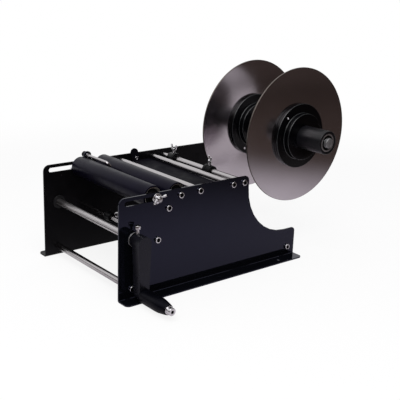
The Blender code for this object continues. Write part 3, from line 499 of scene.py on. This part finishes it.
def plated(name, colour, roughness):
    """Plated or bare metal, a little cloudy."""
    material = new_material(name, colour, roughness, metallic=1, specular=metal_specular)
    colour_scale, roughness_scale, bump_scale = plated_scales
    vary_colour(material, colour_scale, colour, plated_colour_shares)
    vary_roughness(material, roughness_scale, roughness, plated_roughness_shares)
    add_bump(material, bump_scale, plated_bump, fine_bump_depth)
    return material


def polished_sheet(name, colour, roughness):
    """Polished sheet with faint clouds from the polishing."""
    material = new_material(name, colour, roughness, metallic=1, specular=metal_specular)
    colour_scale, roughness_scale, bump_scale = sheet_scales
    vary_colour(material, colour_scale, colour, sheet_colour_shares)
    vary_roughness(material, roughness_scale, roughness, sheet_roughness_shares)
    add_bump(material, bump_scale, sheet_bump, fine_bump_depth)
    return material


finishes = {}
for make_finish, table in ((enamel, enamels), (moulded, blacks), (ground_metal, ground_metals),
                           (plated, plated_metals), (polished_sheet, polished_sheets)):
    for finish_name, values in table.items():
        finishes[finish_name] = make_finish(finish_name, *values)


# Meshes
def profile_points(corners):
    """Turns a profile's corners into points, with an arc at each corner that has a fillet."""
    points = []
    for index, corner in enumerate(corners):
        here = Vector(corner[:2])
        fillet = corner[2] if len(corner) > 2 else 0
        if fillet == 0:
            points.append(tuple(here))
            continue
        before = Vector(corners[index - 1][:2]) - here
        after = Vector(corners[(index + 1) % len(corners)][:2]) - here
        half = before.angle(after) / 2
        setback = min(fillet / math.tan(half), before.length / 2, after.length / 2)
        radius = setback * math.tan(half)
        first = here + before.normalized() * setback
        last = here + after.normalized() * setback
        inward = (before.normalized() + after.normalized()).normalized()
        centre = here + inward * (radius / math.sin(half))
        start = first - centre
        sweep = start.angle_signed(last - centre)
        for step in range(fillet_steps + 1):
            turned = start.copy()
            turned.rotate(Matrix.Rotation(-sweep * step / fillet_steps, 2))
            points.append(tuple(centre + turned))
    return points


def moved(corners, distance):
    """A profile moved along X."""
    return [(place + distance, *rest) for place, *rest in corners]


def ring_of(bm, place, radius, sides):
    """A ring of corners about X, or one corner on the axis."""
    if radius <= 0:
        return [bm.verts.new((place, 0, 0))]
    angles = [2 * math.pi * side / sides for side in range(sides)]
    return [bm.verts.new((place, radius * math.cos(angle), radius * math.sin(angle))) for angle in angles]


def turned_mesh(name, corners, sides):
    """A solid turned about X. The profile is closed if it starts off the axis."""
    points = profile_points(corners)
    bm = bmesh.new()
    rings = [ring_of(bm, place, radius, sides) for place, radius in points]
    closed = points[0][1] > 0
    for index in range(len(rings) if closed else len(rings) - 1):
        here = rings[index]
        there = rings[(index + 1) % len(rings)]
        for side in range(sides):
            turn = (side + 1) % sides
            if len(here) == 1:
                bm.faces.new((here[0], there[side], there[turn]))
            elif len(there) == 1:
                bm.faces.new((here[side], there[0], here[turn]))
            else:
                bm.faces.new((here[side], there[side], there[turn], here[turn]))
    mesh = bpy.data.meshes.new(name)
    bmesh.ops.recalc_face_normals(bm, faces=bm.faces)
    bm.to_mesh(mesh)
    bm.free()
    return mesh


def block_mesh(name, sizes, place):
    """A block of the given sizes, with its middle at the place."""
    mesh = bpy.data.meshes.new(name)
    bm = bmesh.new()
    bmesh.ops.create_cube(bm, size=1)
    bm.to_mesh(mesh)
    bm.free()
    mesh.transform(Matrix.Translation(place) @ Matrix.Diagonal((*sizes, 1)))
    return mesh


def cut(name, base, tool):
    """What is left of a mesh once another is cut out of it."""
    body = bpy.data.objects.new(name, base)
    helper = bpy.data.objects.new(name + "_tool", tool)
    for thing in (body, helper):
        bpy.context.scene.collection.objects.link(thing)
    boolean = body.modifiers.new("cut", "BOOLEAN")
    boolean.operation = "DIFFERENCE"
    boolean.solver = "EXACT"
    boolean.object = helper
    mesh = evaluated_mesh(body)
    bpy.data.objects.remove(helper)
    return mesh


def evaluated_mesh(thing):
    """The mesh that an object makes with its modifiers. The object is then removed."""
    bpy.context.view_layer.update()
    graph = bpy.context.evaluated_depsgraph_get()
    mesh = bpy.data.meshes.new_from_object(thing.evaluated_get(graph))
    bpy.data.objects.remove(thing)
    return mesh


# Pieces
def put(name, mesh, place, turn=Matrix()):
    """A smooth-shaded piece at a place in the machine's frame."""
    mesh.shade_smooth()
    mesh.set_sharp_from_angle(angle=smooth_angle)
    piece = bpy.data.objects.new(name, mesh)
    bpy.context.scene.collection.objects.link(piece)
    piece.matrix_world = Matrix.Translation(Vector(machine_shift) + Vector(place)) @ turn
    bpy.context.view_layer.update()
    return piece


def show(node, mesh, place, turn=Matrix()):
    """Puts a finer mesh in a CAD node's place: it rides on the node's body and takes its slot's finish."""
    piece = put(node + "_fine", mesh, place, turn)
    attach(piece, body_of[node])
    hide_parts(node)
    mesh.materials.clear()
    mesh.materials.append(finishes[slot_of[node]])
    return piece


def show_turned(node, corners, place, sides):
    """Shows a CAD node as a solid turned about X."""
    return show(node, turned_mesh(node + "_fine", corners, sides), place)


def radius_of(face):
    """How far the middle of a turned piece's face lies from its axis."""
    return math.hypot(face.center.y, face.center.z)


def paint(piece, finish, chosen):
    """Gives the faces that a test chooses a second finish."""
    piece.data.materials.append(finishes[finish])
    for face in piece.data.polygons:
        if chosen(face):
            face.material_index = 1


def add_weld(solid):
    weld = solid.modifiers.new("weld", "WELD")
    weld.merge_threshold = weld_distance


def dress(node, finish=None, edge=0):
    """Keeps a CAD node: gives it its finish and, with an edge, rounds its sharp edges."""
    solid = nodes[node]
    solid.data.materials.clear()
    solid.data.materials.append(finishes[finish or slot_of[node]])
    if edge:
        add_weld(solid)
        bevel = solid.modifiers.new("edges", "BEVEL")
        bevel.width = edge
        bevel.segments = edge_steps
        bevel.limit_method = "ANGLE"
        bevel.angle_limit = edge_angle
        bevel.harden_normals = True
        bevel.use_clamp_overlap = True


def dress_casting(node, voxel):
    """Keeps a CAD node, softened all over like a small die casting."""
    dress(node)
    solid = nodes[node]
    add_weld(solid)
    remesh = solid.modifiers.new("casting", "REMESH")
    remesh.mode = "VOXEL"
    remesh.voxel_size = voxel
    remesh.use_smooth_shade = True
    soften = solid.modifiers.new("soften", "SMOOTH")
    soften.factor = soften_share
    soften.iterations = soften_rounds


# Bars and screws
def show_bars():
    """Bars with a riveted spigot through the far plate."""
    head_x = -seat_x
    rivet_x = head_x - rivet_head_height
    for name, (y, z, radius) in bars.items():
        corners = [(bar_end_x, 0), (bar_end_x, radius, bar_chamfer), (-bar_end_x, radius, bar_chamfer),
                   (-bar_end_x, rivet_neck), (head_x, rivet_neck),
                   (head_x, rivet_head_radius, rivet_head_edge), (rivet_x, rivet_neck, rivet_crown),
                   (rivet_x, 0)]
        show_turned(name, corners, (0, y, z), bar_sides)


def head_corners(sizes, flanged):
    """The profile of a screw along X, with the seat of its head at zero."""
    radius, height, edge, shank, length, _, _ = sizes
    corners = [(height, 0), (height, radius * head_flat_share), (height, radius, edge)]
    if flanged:
        corners += [(0, radius), (0, grip_flange_radius, flange_edge),
                    (-grip_flange_thickness, grip_flange_radius), (-grip_flange_thickness, shank)]
    else:
        corners += [(0, radius, edge * seat_edge_share), (0, shank)]
    return corners + [(-length, shank), (-length, 0)]


def show_screw(node, sizes, place, turn=Matrix(), seat=0, flanged=False):
    """A screw with a six-sided socket."""
    _, height, _, _, _, socket_radius, floor = sizes
    body = turned_mesh(node, moved(head_corners(sizes, flanged), seat), small_sides)
    top = height + cut_overrun
    corners = [(top, 0), (top, socket_radius), (floor, socket_radius), (floor, 0)]
    socket = turned_mesh(node, moved(corners, seat), hex_sides)
    return show(node, cut(node, body, socket), place, turn)


def shade_socket(screw, sizes):
    """Paints the walls and floor of a screw's socket very dark: painted shade in the recess."""
    _, _, _, _, _, socket_radius, floor = sizes
    reach = socket_radius * socket_wall_share
    paint(screw, "socket_shade", lambda face: radius_of(face) < reach and face.center.x > floor - gap)


def show_screws():
    """The screws of the bars, peel plate, bracket and crank."""
    backward = Matrix.Rotation(math.pi, 4, "Z")
    upward = Matrix.Rotation(-math.pi / 2, 4, "Y")
    for name, (y, z, _) in bars.items():
        screw = show_screw(name + "_screw", bar_screw, (seat_x, y, z))
        shade_socket(screw, bar_screw)
    lug_seat_x = -(bar_end_x - lug_thickness - gap)
    show_screw("peel_plate_screw", small_screw, (lug_seat_x, peel_screw_y, peel_screw_z))
    show_screw("stop_bracket_screw", small_screw, (-seat_x, stop_screw_y, stop_screw_z), backward)
    screw = show_screw("crank_clamp_screw", clamp_screw, (clamp_screw_x, take_up_y, clamp_screw_z), upward)
    shade_socket(screw, clamp_screw)
    screw = show_screw("grip_screw", grip_screw, (grip_screw_x, take_up_y, grip_z), flanged=True)
    shade_socket(screw, grip_screw)


# Rollers and the front roller's axle
def show_roller_bearing(node, side, face_x, place):
    """A dished bearing in a roller's end, with a nose that reaches the plate."""
    outer = roller_radius - roller_wall - gap
    inner = axle_bar_radius + gap
    deep_x = face_x - side * cap_thickness
    dish_x = face_x - side * cap_dish_depth
    corners = [(side * bar_end_x, inner), (side * bar_end_x, cap_nose_radius, cap_edge),
               (face_x, cap_nose_radius), (face_x, cap_inner_rim, cap_edge), (dish_x, cap_dish_inner),
               (dish_x, cap_dish_outer), (face_x, cap_outer_rim, cap_edge), (face_x, outer),
               (deep_x, outer), (deep_x, inner)]
    bearing = show_turned(node, corners, place, bar_sides)
    paint(bearing, "bare_bore", lambda face: radius_of(face) > cap_dish_outer)


def show_rollers():
    """The two tubes, bare inside, with a bearing in each end."""
    bore = roller_radius - roller_wall
    rear_y, rear_z, _ = bars["rear_roller_axle"]
    for prefix, y, z in (("front", front_roller_y, front_roller_z), ("rear", rear_y, rear_z)):
        corners = [(roller_near_x, bore, roller_bore_edge), (roller_near_x, roller_radius, roller_edge),
                   (roller_far_x, roller_radius, roller_edge), (roller_far_x, bore, roller_bore_edge)]
        roller = show_turned(prefix + "_roller", corners, (0, y, z), roller_sides)
        paint(roller, "bare_bore", lambda face: radius_of(face) < bore + roller_edge)
        for end, side, end_x in (("near", 1, roller_near_x), ("far", -1, roller_far_x)):
            face_x = end_x - side * cap_recess
            show_roller_bearing(prefix + "_roller_" + end + "_bearing", side, face_x, (0, y, z))


def show_front_axle():
    """The axle, with a stud at each end for a wing nut, and the washers under the nuts."""
    place = (0, front_roller_y, front_roller_z)
    near_half = [(stud_end_x, 0), (stud_end_x, stud_radius, stud_tip_edge), (bar_end_x, stud_radius),
                 (bar_end_x, axle_bar_radius, stud_shoulder_edge)]
    far_half = [(-x, *rest) for x, *rest in reversed(near_half)]
    show_turned("front_roller_axle", near_half + far_half, place, bar_sides)
    high_x = seat_x + washer_thickness
    for prefix, side in (("near", 1), ("far", -1)):
        corners = [(side * high_x, washer_bore), (side * high_x, washer_radius, washer_edge),
                   (side * seat_x, washer_radius), (side * seat_x, washer_bore)]
        show_turned(prefix + "_axle_washer", corners, place, bar_sides)


# Guide collars
def collar_corners(radius, length, bore, flange_low):
    """A collar's profile: a shoulder with a flange at one end."""
    shoulder = radius * collar_shoulder_share
    flange = length * collar_flange_share
    steps = [(length, shoulder, collar_edge), (flange, shoulder, collar_step_edge),
             (flange, radius, collar_step_edge), (0, radius, collar_edge)]
    if not flange_low:
        steps = [(length - place, *rest) for place, *rest in reversed(steps)]
    return [(length, bore, collar_bore_edge)] + steps + [(0, bore, collar_bore_edge)]


def show_collars():
    """Collars, each with the hole of its lock screw."""
    upright = Matrix.Rotation(-math.pi / 2, 4, "Y")
    for prefix, (bar, x, radius, length, lean, flange_low) in collars.items():
        y, z, bar_size = bars[bar]
        name = prefix + "_guide_collar"
        body = turned_mesh(name, collar_corners(radius, length, bar_size + gap, flange_low), bar_sides)
        corners = [(lock_hole_reach, 0), (lock_hole_reach, lock_hole_radius), (0, lock_hole_radius), (0, 0)]
        hole = turned_mesh(name, corners, small_sides)
        leaned = Matrix.Rotation(lean, 4, "X")
        hole.transform(Matrix.Translation((length / 2, 0, 0)) @ leaned @ upright)
        show(name, cut(name, body, hole), (x, y, z))


# Bottle stop
def rod_path():
    """The bottle stop's centre line: straight, one bend, then a short leg."""
    along = Vector((1, 0, 0))
    leg = Vector(stop_rod_leg)
    angle = along.angle(leg)
    corner = Vector((stop_rod_corner_x, 0, 0))
    start = corner - along * (stop_rod_bend * math.tan(angle / 2))
    across = (leg - along * leg.dot(along)).normalized()
    path = [Vector((stop_rod_far_x, 0, 0))]
    for step in range(bend_steps + 1):
        turned = angle * step / bend_steps
        sideways = across * (stop_rod_bend * (1 - math.cos(turned)))
        path.append(start + along * (stop_rod_bend * math.sin(turned)) + sideways)
    return path + [corner + leg * tip_place_share, corner + leg]


def rod_mesh():
    """The bent rod, slightly narrower at its tip."""
    curve = bpy.data.curves.new("stop_rod", "CURVE")
    curve.dimensions = "3D"
    curve.bevel_depth = stop_rod_radius
    curve.bevel_resolution = rod_roundness
    curve.use_fill_caps = True
    spline = curve.splines.new("POLY")
    path = rod_path()
    spline.points.add(len(path) - 1)
    for point, place in zip(spline.points, path):
        point.co = (*place, 1)
    spline.points[-1].radius = tip_radius_share
    rod = bpy.data.objects.new("stop_rod_curve", curve)
    bpy.context.scene.collection.objects.link(rod)
    return evaluated_mesh(rod)


def show_stop_bush(place):
    """The bright bush that guides the stop rod, on the bracket's inner face. It has no CAD node."""
    low_x = -bar_end_x + stop_bracket_thickness + gap
    high_x = low_x + stop_bush_length
    corners = [(high_x, stop_bush_bore), (high_x, stop_bush_radius, stop_bush_edge),
               (low_x, stop_bush_radius), (low_x, stop_bush_bore)]
    mesh = turned_mesh("stop_bush", corners, bar_sides)
    mesh.materials.append(finishes["screw_steel"])
    bush = put("stop_bush", mesh, place)
    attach(bush, body_of["stop_bracket"])


def show_bottle_stop():
    place = (0, stop_rod_y, stop_rod_z)
    show("stop_rod", rod_mesh(), place)
    show_stop_bush(place)
    show_turned("stop_knob", knob_profile, place, bar_sides)


# Take-up shaft and grip
def show_take_up_shaft(place):
    """The shaft, with a slit for the backing paper along it and a head outside the far plate."""
    head_x = -seat_x
    far_x = head_x - take_up_head_length
    corners = [(take_up_near_x, 0), (take_up_near_x, take_up_radius), (head_x, take_up_radius),
               (head_x, take_up_head_radius, take_up_head_edge),
               (far_x, take_up_head_radius, take_up_head_crown), (far_x, 0)]
    shaft = turned_mesh("take_up_shaft", corners, bar_sides)
    slit = block_mesh("slit", slit_sizes, (0, -take_up_radius, 0))
    show("take_up_shaft", cut("take_up_shaft", shaft, slit), place)


def show_take_up():
    """The shaft and its flanged bush in each plate. The near bush has a bright rim."""
    place = (0, take_up_y, take_up_z)
    show_take_up_shaft(place)
    bore = take_up_radius + gap
    for prefix, low_x, spigot_x in (("near", seat_x, inner_x), ("far", -bar_end_x, -outer_x)):
        high_x = low_x + bush_flange_thickness
        corners = [(high_x, bore), (high_x, bush_flange_radius, bush_flange_edge),
                   (low_x, bush_flange_radius), (low_x, bush_spigot_radius),
                   (spigot_x, bush_spigot_radius), (spigot_x, bore)]
        bush = show_turned(prefix + "_take_up_bush", corners, place, bar_sides)
        if prefix == "near":
            paint(bush, "cap_steel", lambda face: radius_of(face) > bush_rim_start)


def grip_corners():
    """The grip's outline, smooth from a full waist to a narrow end."""
    points = []
    for place_share, radius_share in zip(grip_place_shares, grip_radius_shares):
        points.append(Vector((grip_x + place_share * grip_length, radius_share * grip_radius)))
    smooth = []
    for index in range(len(points) - 1):
        before = points[max(index - 1, 0)]
        after = points[min(index + 2, len(points) - 1)]
        here = points[index]
        there = points[index + 1]
        for step in range(grip_steps):
            way = step / grip_steps
            smooth.append(0.5 * ((2 * here) + (there - before) * way
                                 + (2 * before - 5 * here + 4 * there - after) * way ** 2
                                 + (3 * here - before - 3 * there + after) * way ** 3))
    return [tuple(point) for point in smooth] + [tuple(points[-1])]


def show_grip():
    outline = grip_corners()
    corners = [(grip_x + grip_length, grip_bore)] + outline[::-1] + [(grip_x, grip_bore)]
    show_turned("crank_grip", corners, (0, take_up_y, grip_z), round_sides)


# Reel
def show_reel():
    """The tube on its bearings, and the fixed axle with its cap."""
    show_turned("reel_spindle", spindle_profile, reel_place, spindle_sides)
    for prefix, low_x in bearing_places.items():
        corners = moved(bearing_profile, low_x)
        bearing = show_turned(prefix + "_spindle_bearing", corners, reel_place, round_sides)
        # The seal between the rings gets the same very dark finish that paints shade into screw sockets
        paint(bearing, "socket_shade", lambda face: seal_inner < radius_of(face) < seal_outer)
    shoulder_x = -bar_end_x + axle_shoulder_length
    far_x = -(seat_x + axle_nut_thickness + gap)
    corners = [(axle_end_x, 0), (axle_end_x, axle_radius), (shoulder_x, axle_radius),
               (shoulder_x, axle_shoulder_radius, axle_shoulder_edge), (-bar_end_x, axle_shoulder_radius),
               (-bar_end_x, axle_radius), (far_x, axle_radius, axle_tip_edge), (far_x, 0)]
    show_turned("reel_axle", corners, reel_place, bar_sides)
    cap = show_turned("reel_axle_cap", end_cap_profile, reel_place, round_sides)
    cap.data.materials[0] = finishes["cap_steel"]


def show_disc(prefix, face_x, low_x):
    """A polished disc with a dark rim."""
    corners = [(face_x, disc_bore), (face_x, disc_radius, disc_edge), (low_x, disc_radius, disc_edge),
               (low_x, disc_bore)]
    disc = show_turned(prefix + "_disc", corners, reel_place, disc_sides)
    paint(disc, "disc_rim", lambda face: radius_of(face) > disc_radius - disc_edge)


def show_hub(prefix, seat_low_x, step_x, disc_low_x, hole_place):
    """A hub with a flange against the disc, a boss and a spigot through the disc, and a screw's hole."""
    name = prefix + "_hub"
    top_x = step_x + hub_boss_length
    bore = spindle_radius + gap
    corners = [(top_x, bore, hub_bore_edge), (top_x, hub_boss_radius, hub_boss_edge),
               (step_x, hub_boss_radius, hub_boss_root), (step_x, hub_flange_radius, hub_flange_edge),
               (seat_low_x, hub_flange_radius, hub_seat_edge), (seat_low_x, hub_spigot_radius),
               (disc_low_x, hub_spigot_radius), (disc_low_x, bore, hub_bore_low_edge)]
    body = turned_mesh(name, corners, hub_sides)
    top_x = step_x + cut_overrun
    floor_x = step_x - hub_hole_depth
    corners = [(top_x, 0), (top_x, hub_hole_radius), (floor_x, hub_hole_radius), (floor_x, 0)]
    hole = turned_mesh("hole", corners, small_sides)
    hole.transform(Matrix.Translation(hole_place))
    hub = show(name, cut(name, body, hole), reel_place)
    # Rounded edges that face +X get a lighter finish: a painted highlight
    low_slope, high_slope = hub_edge_highlight_slopes
    paint(hub, "hub_edge", lambda face: low_slope < face.normal.x < high_slope)


def show_flanges():
    """The reel's flanges, each a disc and a hub with its screw."""
    for prefix, (face_x, angle) in flanges.items():
        disc_low_x = face_x - disc_thickness
        seat_low_x = face_x + gap
        step_x = seat_low_x + hub_flange_thickness
        hole_place = Vector((0, hub_screw_circle * math.cos(angle), hub_screw_circle * math.sin(angle)))
        screw_place = Vector(reel_place) + hole_place
        show_disc(prefix, face_x, disc_low_x)
        show_hub(prefix, seat_low_x, step_x, disc_low_x, hole_place)
        show_screw(prefix + "_hub_screw", hub_screw, screw_place, seat=step_x + gap)


# CAD nodes that show themselves
def dress_castings():
    for name, voxel in casting_voxels.items():
        dress_casting(name, voxel)


def dress_plates():
    """The side plates, peel plate and bracket, the crank's arm and the nut of the reel's axle."""
    dress("near_side_plate", edge=plate_edge)
    # The far plate gets a duller copy of the plate enamel: painted shade
    dress("far_side_plate", "far_enamel", plate_edge)
    # The peel plate gets a matt copy of the plate enamel: painted shade
    dress("peel_plate", "peel_enamel", plate_edge)
    dress("stop_bracket", edge=plate_edge)
    dress("crank_arm", edge=crank_edge)
    dress("reel_axle_nut", edge=axle_nut_edge)


# Floor, room, lamp and camera
def calculated(tree, operation, first, second):
    """A Math node on two outputs, or on an output and a number."""
    node = tree.nodes.new("ShaderNodeMath")
    node.operation = operation
    for socket, value in zip(node.inputs, (first, second)):
        if isinstance(value, (int, float)):
            socket.default_value = value
        else:
            tree.links.new(value, socket)
    return node.outputs[0]


def stepped(tree, value, edges, heights=(0, 1)):
    """A smooth step of an output between two edges."""
    node = tree.nodes.new("ShaderNodeMapRange")
    node.interpolation_type = "SMOOTHSTEP"
    for name, number in zip(("From Min", "From Max", "To Min", "To Max"), (*edges, *heights)):
        node.inputs[name].default_value = number
    tree.links.new(value, node.inputs["Value"])
    return node.outputs["Result"]


def mixed_colour(tree, share, first, second):
    """A colour between two, by an output. The first may be an output too."""
    node = tree.nodes.new("ShaderNodeMix")
    node.data_type = "RGBA"
    tree.links.new(share, node.inputs["Factor"])
    for index, colour in ((first_colour_socket, first), (second_colour_socket, second)):
        if isinstance(colour, tuple):
            node.inputs[index].default_value = (*colour[:3], 1)
        else:
            tree.links.new(colour, node.inputs[index])
    return node.outputs[mixed_colour_socket]


def mirror_share(tree, path, share):
    """How much of a white backdrop metal and glass see, by an output."""
    rays = calculated(tree, "ADD", path.outputs["Is Glossy Ray"], path.outputs["Is Transmission Ray"])
    return calculated(tree, "MULTIPLY", rays, share)


def mix_shaders(tree, share, first, second, output):
    mix = tree.nodes.new("ShaderNodeMixShader")
    tree.links.new(share, mix.inputs["Fac"])
    tree.links.new(first, mix.inputs[1])
    tree.links.new(second, mix.inputs[2])
    tree.links.new(mix.outputs[0], output.inputs["Surface"])


def floor_material():
    """A floor pale round the machine and darker further out, a painted pool of light, with a white sweep to
    the machine's left.

    The camera sees all of it white, with the machine's shadow. Metal and glass see the white sweep too.
    """
    material = bpy.data.materials.new("floor")
    material.use_nodes = True
    tree = material.node_tree
    tree.nodes.clear()
    output = tree.nodes.new("ShaderNodeOutputMaterial")
    matt = tree.nodes.new("ShaderNodeBsdfDiffuse")
    glow = tree.nodes.new("ShaderNodeEmission")
    path = tree.nodes.new("ShaderNodeLightPath")
    place = tree.nodes.new("ShaderNodeTexCoord")
    axes = tree.nodes.new("ShaderNodeSeparateXYZ")
    reach = tree.nodes.new("ShaderNodeVectorMath")
    reach.operation = "LENGTH"
    tree.links.new(place.outputs["Object"], reach.inputs[0])
    tree.links.new(place.outputs["Object"], axes.inputs[0])
    # Painted pool of light: the floor is pale round the machine and darker further out
    far = stepped(tree, reach.outputs["Value"], (light_pool_reach, light_pool_reach + light_pool_fade))
    room = mixed_colour(tree, far, painted_light_pool_colour, room_floor_colour)
    tree.links.new(mixed_colour(tree, path.outputs["Is Camera Ray"], room, white), matt.inputs["Color"])
    glow.inputs["Color"].default_value = white
    glow.inputs["Strength"].default_value = 1
    seen = stepped(tree, reach.outputs["Value"], shadow_reach, (1 - shadow_share, 1))
    seen = calculated(tree, "MULTIPLY", seen, path.outputs["Is Camera Ray"])
    left = calculated(tree, "MULTIPLY", axes.outputs["X"], -1)
    sweep = stepped(tree, left, backdrop_reach, (0, backdrop_share))
    share = calculated(tree, "MAXIMUM", seen, mirror_share(tree, path, sweep))
    mix_shaders(tree, share, matt.outputs[0], glow.outputs[0], output)
    return material


def make_floor():
    mesh = bpy.data.meshes.new("floor")
    bm = bmesh.new()
    bmesh.ops.create_grid(bm, x_segments=2, y_segments=2, size=floor_half_width)
    bm.to_mesh(mesh)
    bm.free()
    mesh.materials.append(floor_material())
    floor = bpy.data.objects.new("floor", mesh)
    bpy.context.scene.collection.objects.link(floor)


def make_world():
    """A room that is pale above the machine's left and dark elsewhere.

    The camera sees white all round, and metal and glass see that white on the pale side.
    """
    world = bpy.data.worlds.new("studio")
    bpy.context.scene.world = world
    world.use_nodes = True
    tree = world.node_tree
    room = tree.nodes["Background"]
    place = tree.nodes.new("ShaderNodeTexCoord")
    toward = tree.nodes.new("ShaderNodeVectorMath")
    backdrop = tree.nodes.new("ShaderNodeBackground")
    path = tree.nodes.new("ShaderNodeLightPath")
    toward.operation = "DOT_PRODUCT"
    toward.inputs[1].default_value = Vector(pale_side).normalized()
    tree.links.new(place.outputs["Generated"], toward.inputs[0])
    pale = stepped(tree, toward.outputs["Value"], pale_edges)
    tree.links.new(mixed_colour(tree, pale, dark_wall_colour, pale_wall_colour), room.inputs["Color"])
    backdrop.inputs["Color"].default_value = white
    share = calculated(tree, "MAXIMUM", path.outputs["Is Camera Ray"], mirror_share(tree, path, pale))
    mix_shaders(tree, share, room.outputs[0], backdrop.outputs[0], tree.nodes["World Output"])


def make_lamp():
    lamp = bpy.data.lights.new("top_light", "AREA")
    lamp.shape = "SQUARE"
    lamp.size = lamp_width
    lamp.energy = lamp_power
    holder = bpy.data.objects.new("top_light", lamp)
    bpy.context.scene.collection.objects.link(holder)
    holder.location = lamp_place
    heading = Vector(lamp_aim) - Vector(lamp_place)
    holder.rotation_euler = heading.to_track_quat("-Z", "Y").to_euler()


def make_camera():
    """The camera at the photograph's place, from its azimuth, elevation and roll."""
    level = math.cos(camera_elevation)
    back = Vector((math.sin(camera_azimuth) * level, -math.cos(camera_azimuth) * level,
                   math.sin(camera_elevation)))
    right = Vector((math.cos(camera_azimuth), math.sin(camera_azimuth), 0))
    up = back.cross(right)
    rolled_right = math.cos(camera_roll) * right + math.sin(camera_roll) * up
    rolled_up = -math.sin(camera_roll) * right + math.cos(camera_roll) * up
    lens = bpy.data.cameras.new("camera")
    lens.lens = camera_lens
    lens.sensor_width = camera_sensor
    lens.sensor_fit = "HORIZONTAL"
    lens.clip_start = camera_near
    camera = bpy.data.objects.new("camera", lens)
    bpy.context.scene.collection.objects.link(camera)
    axes = Matrix((rolled_right, rolled_up, back)).transposed()
    camera.matrix_world = Matrix.Translation(camera_place) @ axes.to_4x4()
    bpy.context.scene.camera = camera


# The whole scene
show_bars()
show_screws()
show_rollers()
show_front_axle()
show_collars()
show_bottle_stop()
show_take_up()
show_grip()
show_reel()
show_flanges()
dress_castings()
dress_plates()
make_floor()
make_world()
make_lamp()
make_camera()
bpy.context.scene.view_settings.view_transform = "Standard"
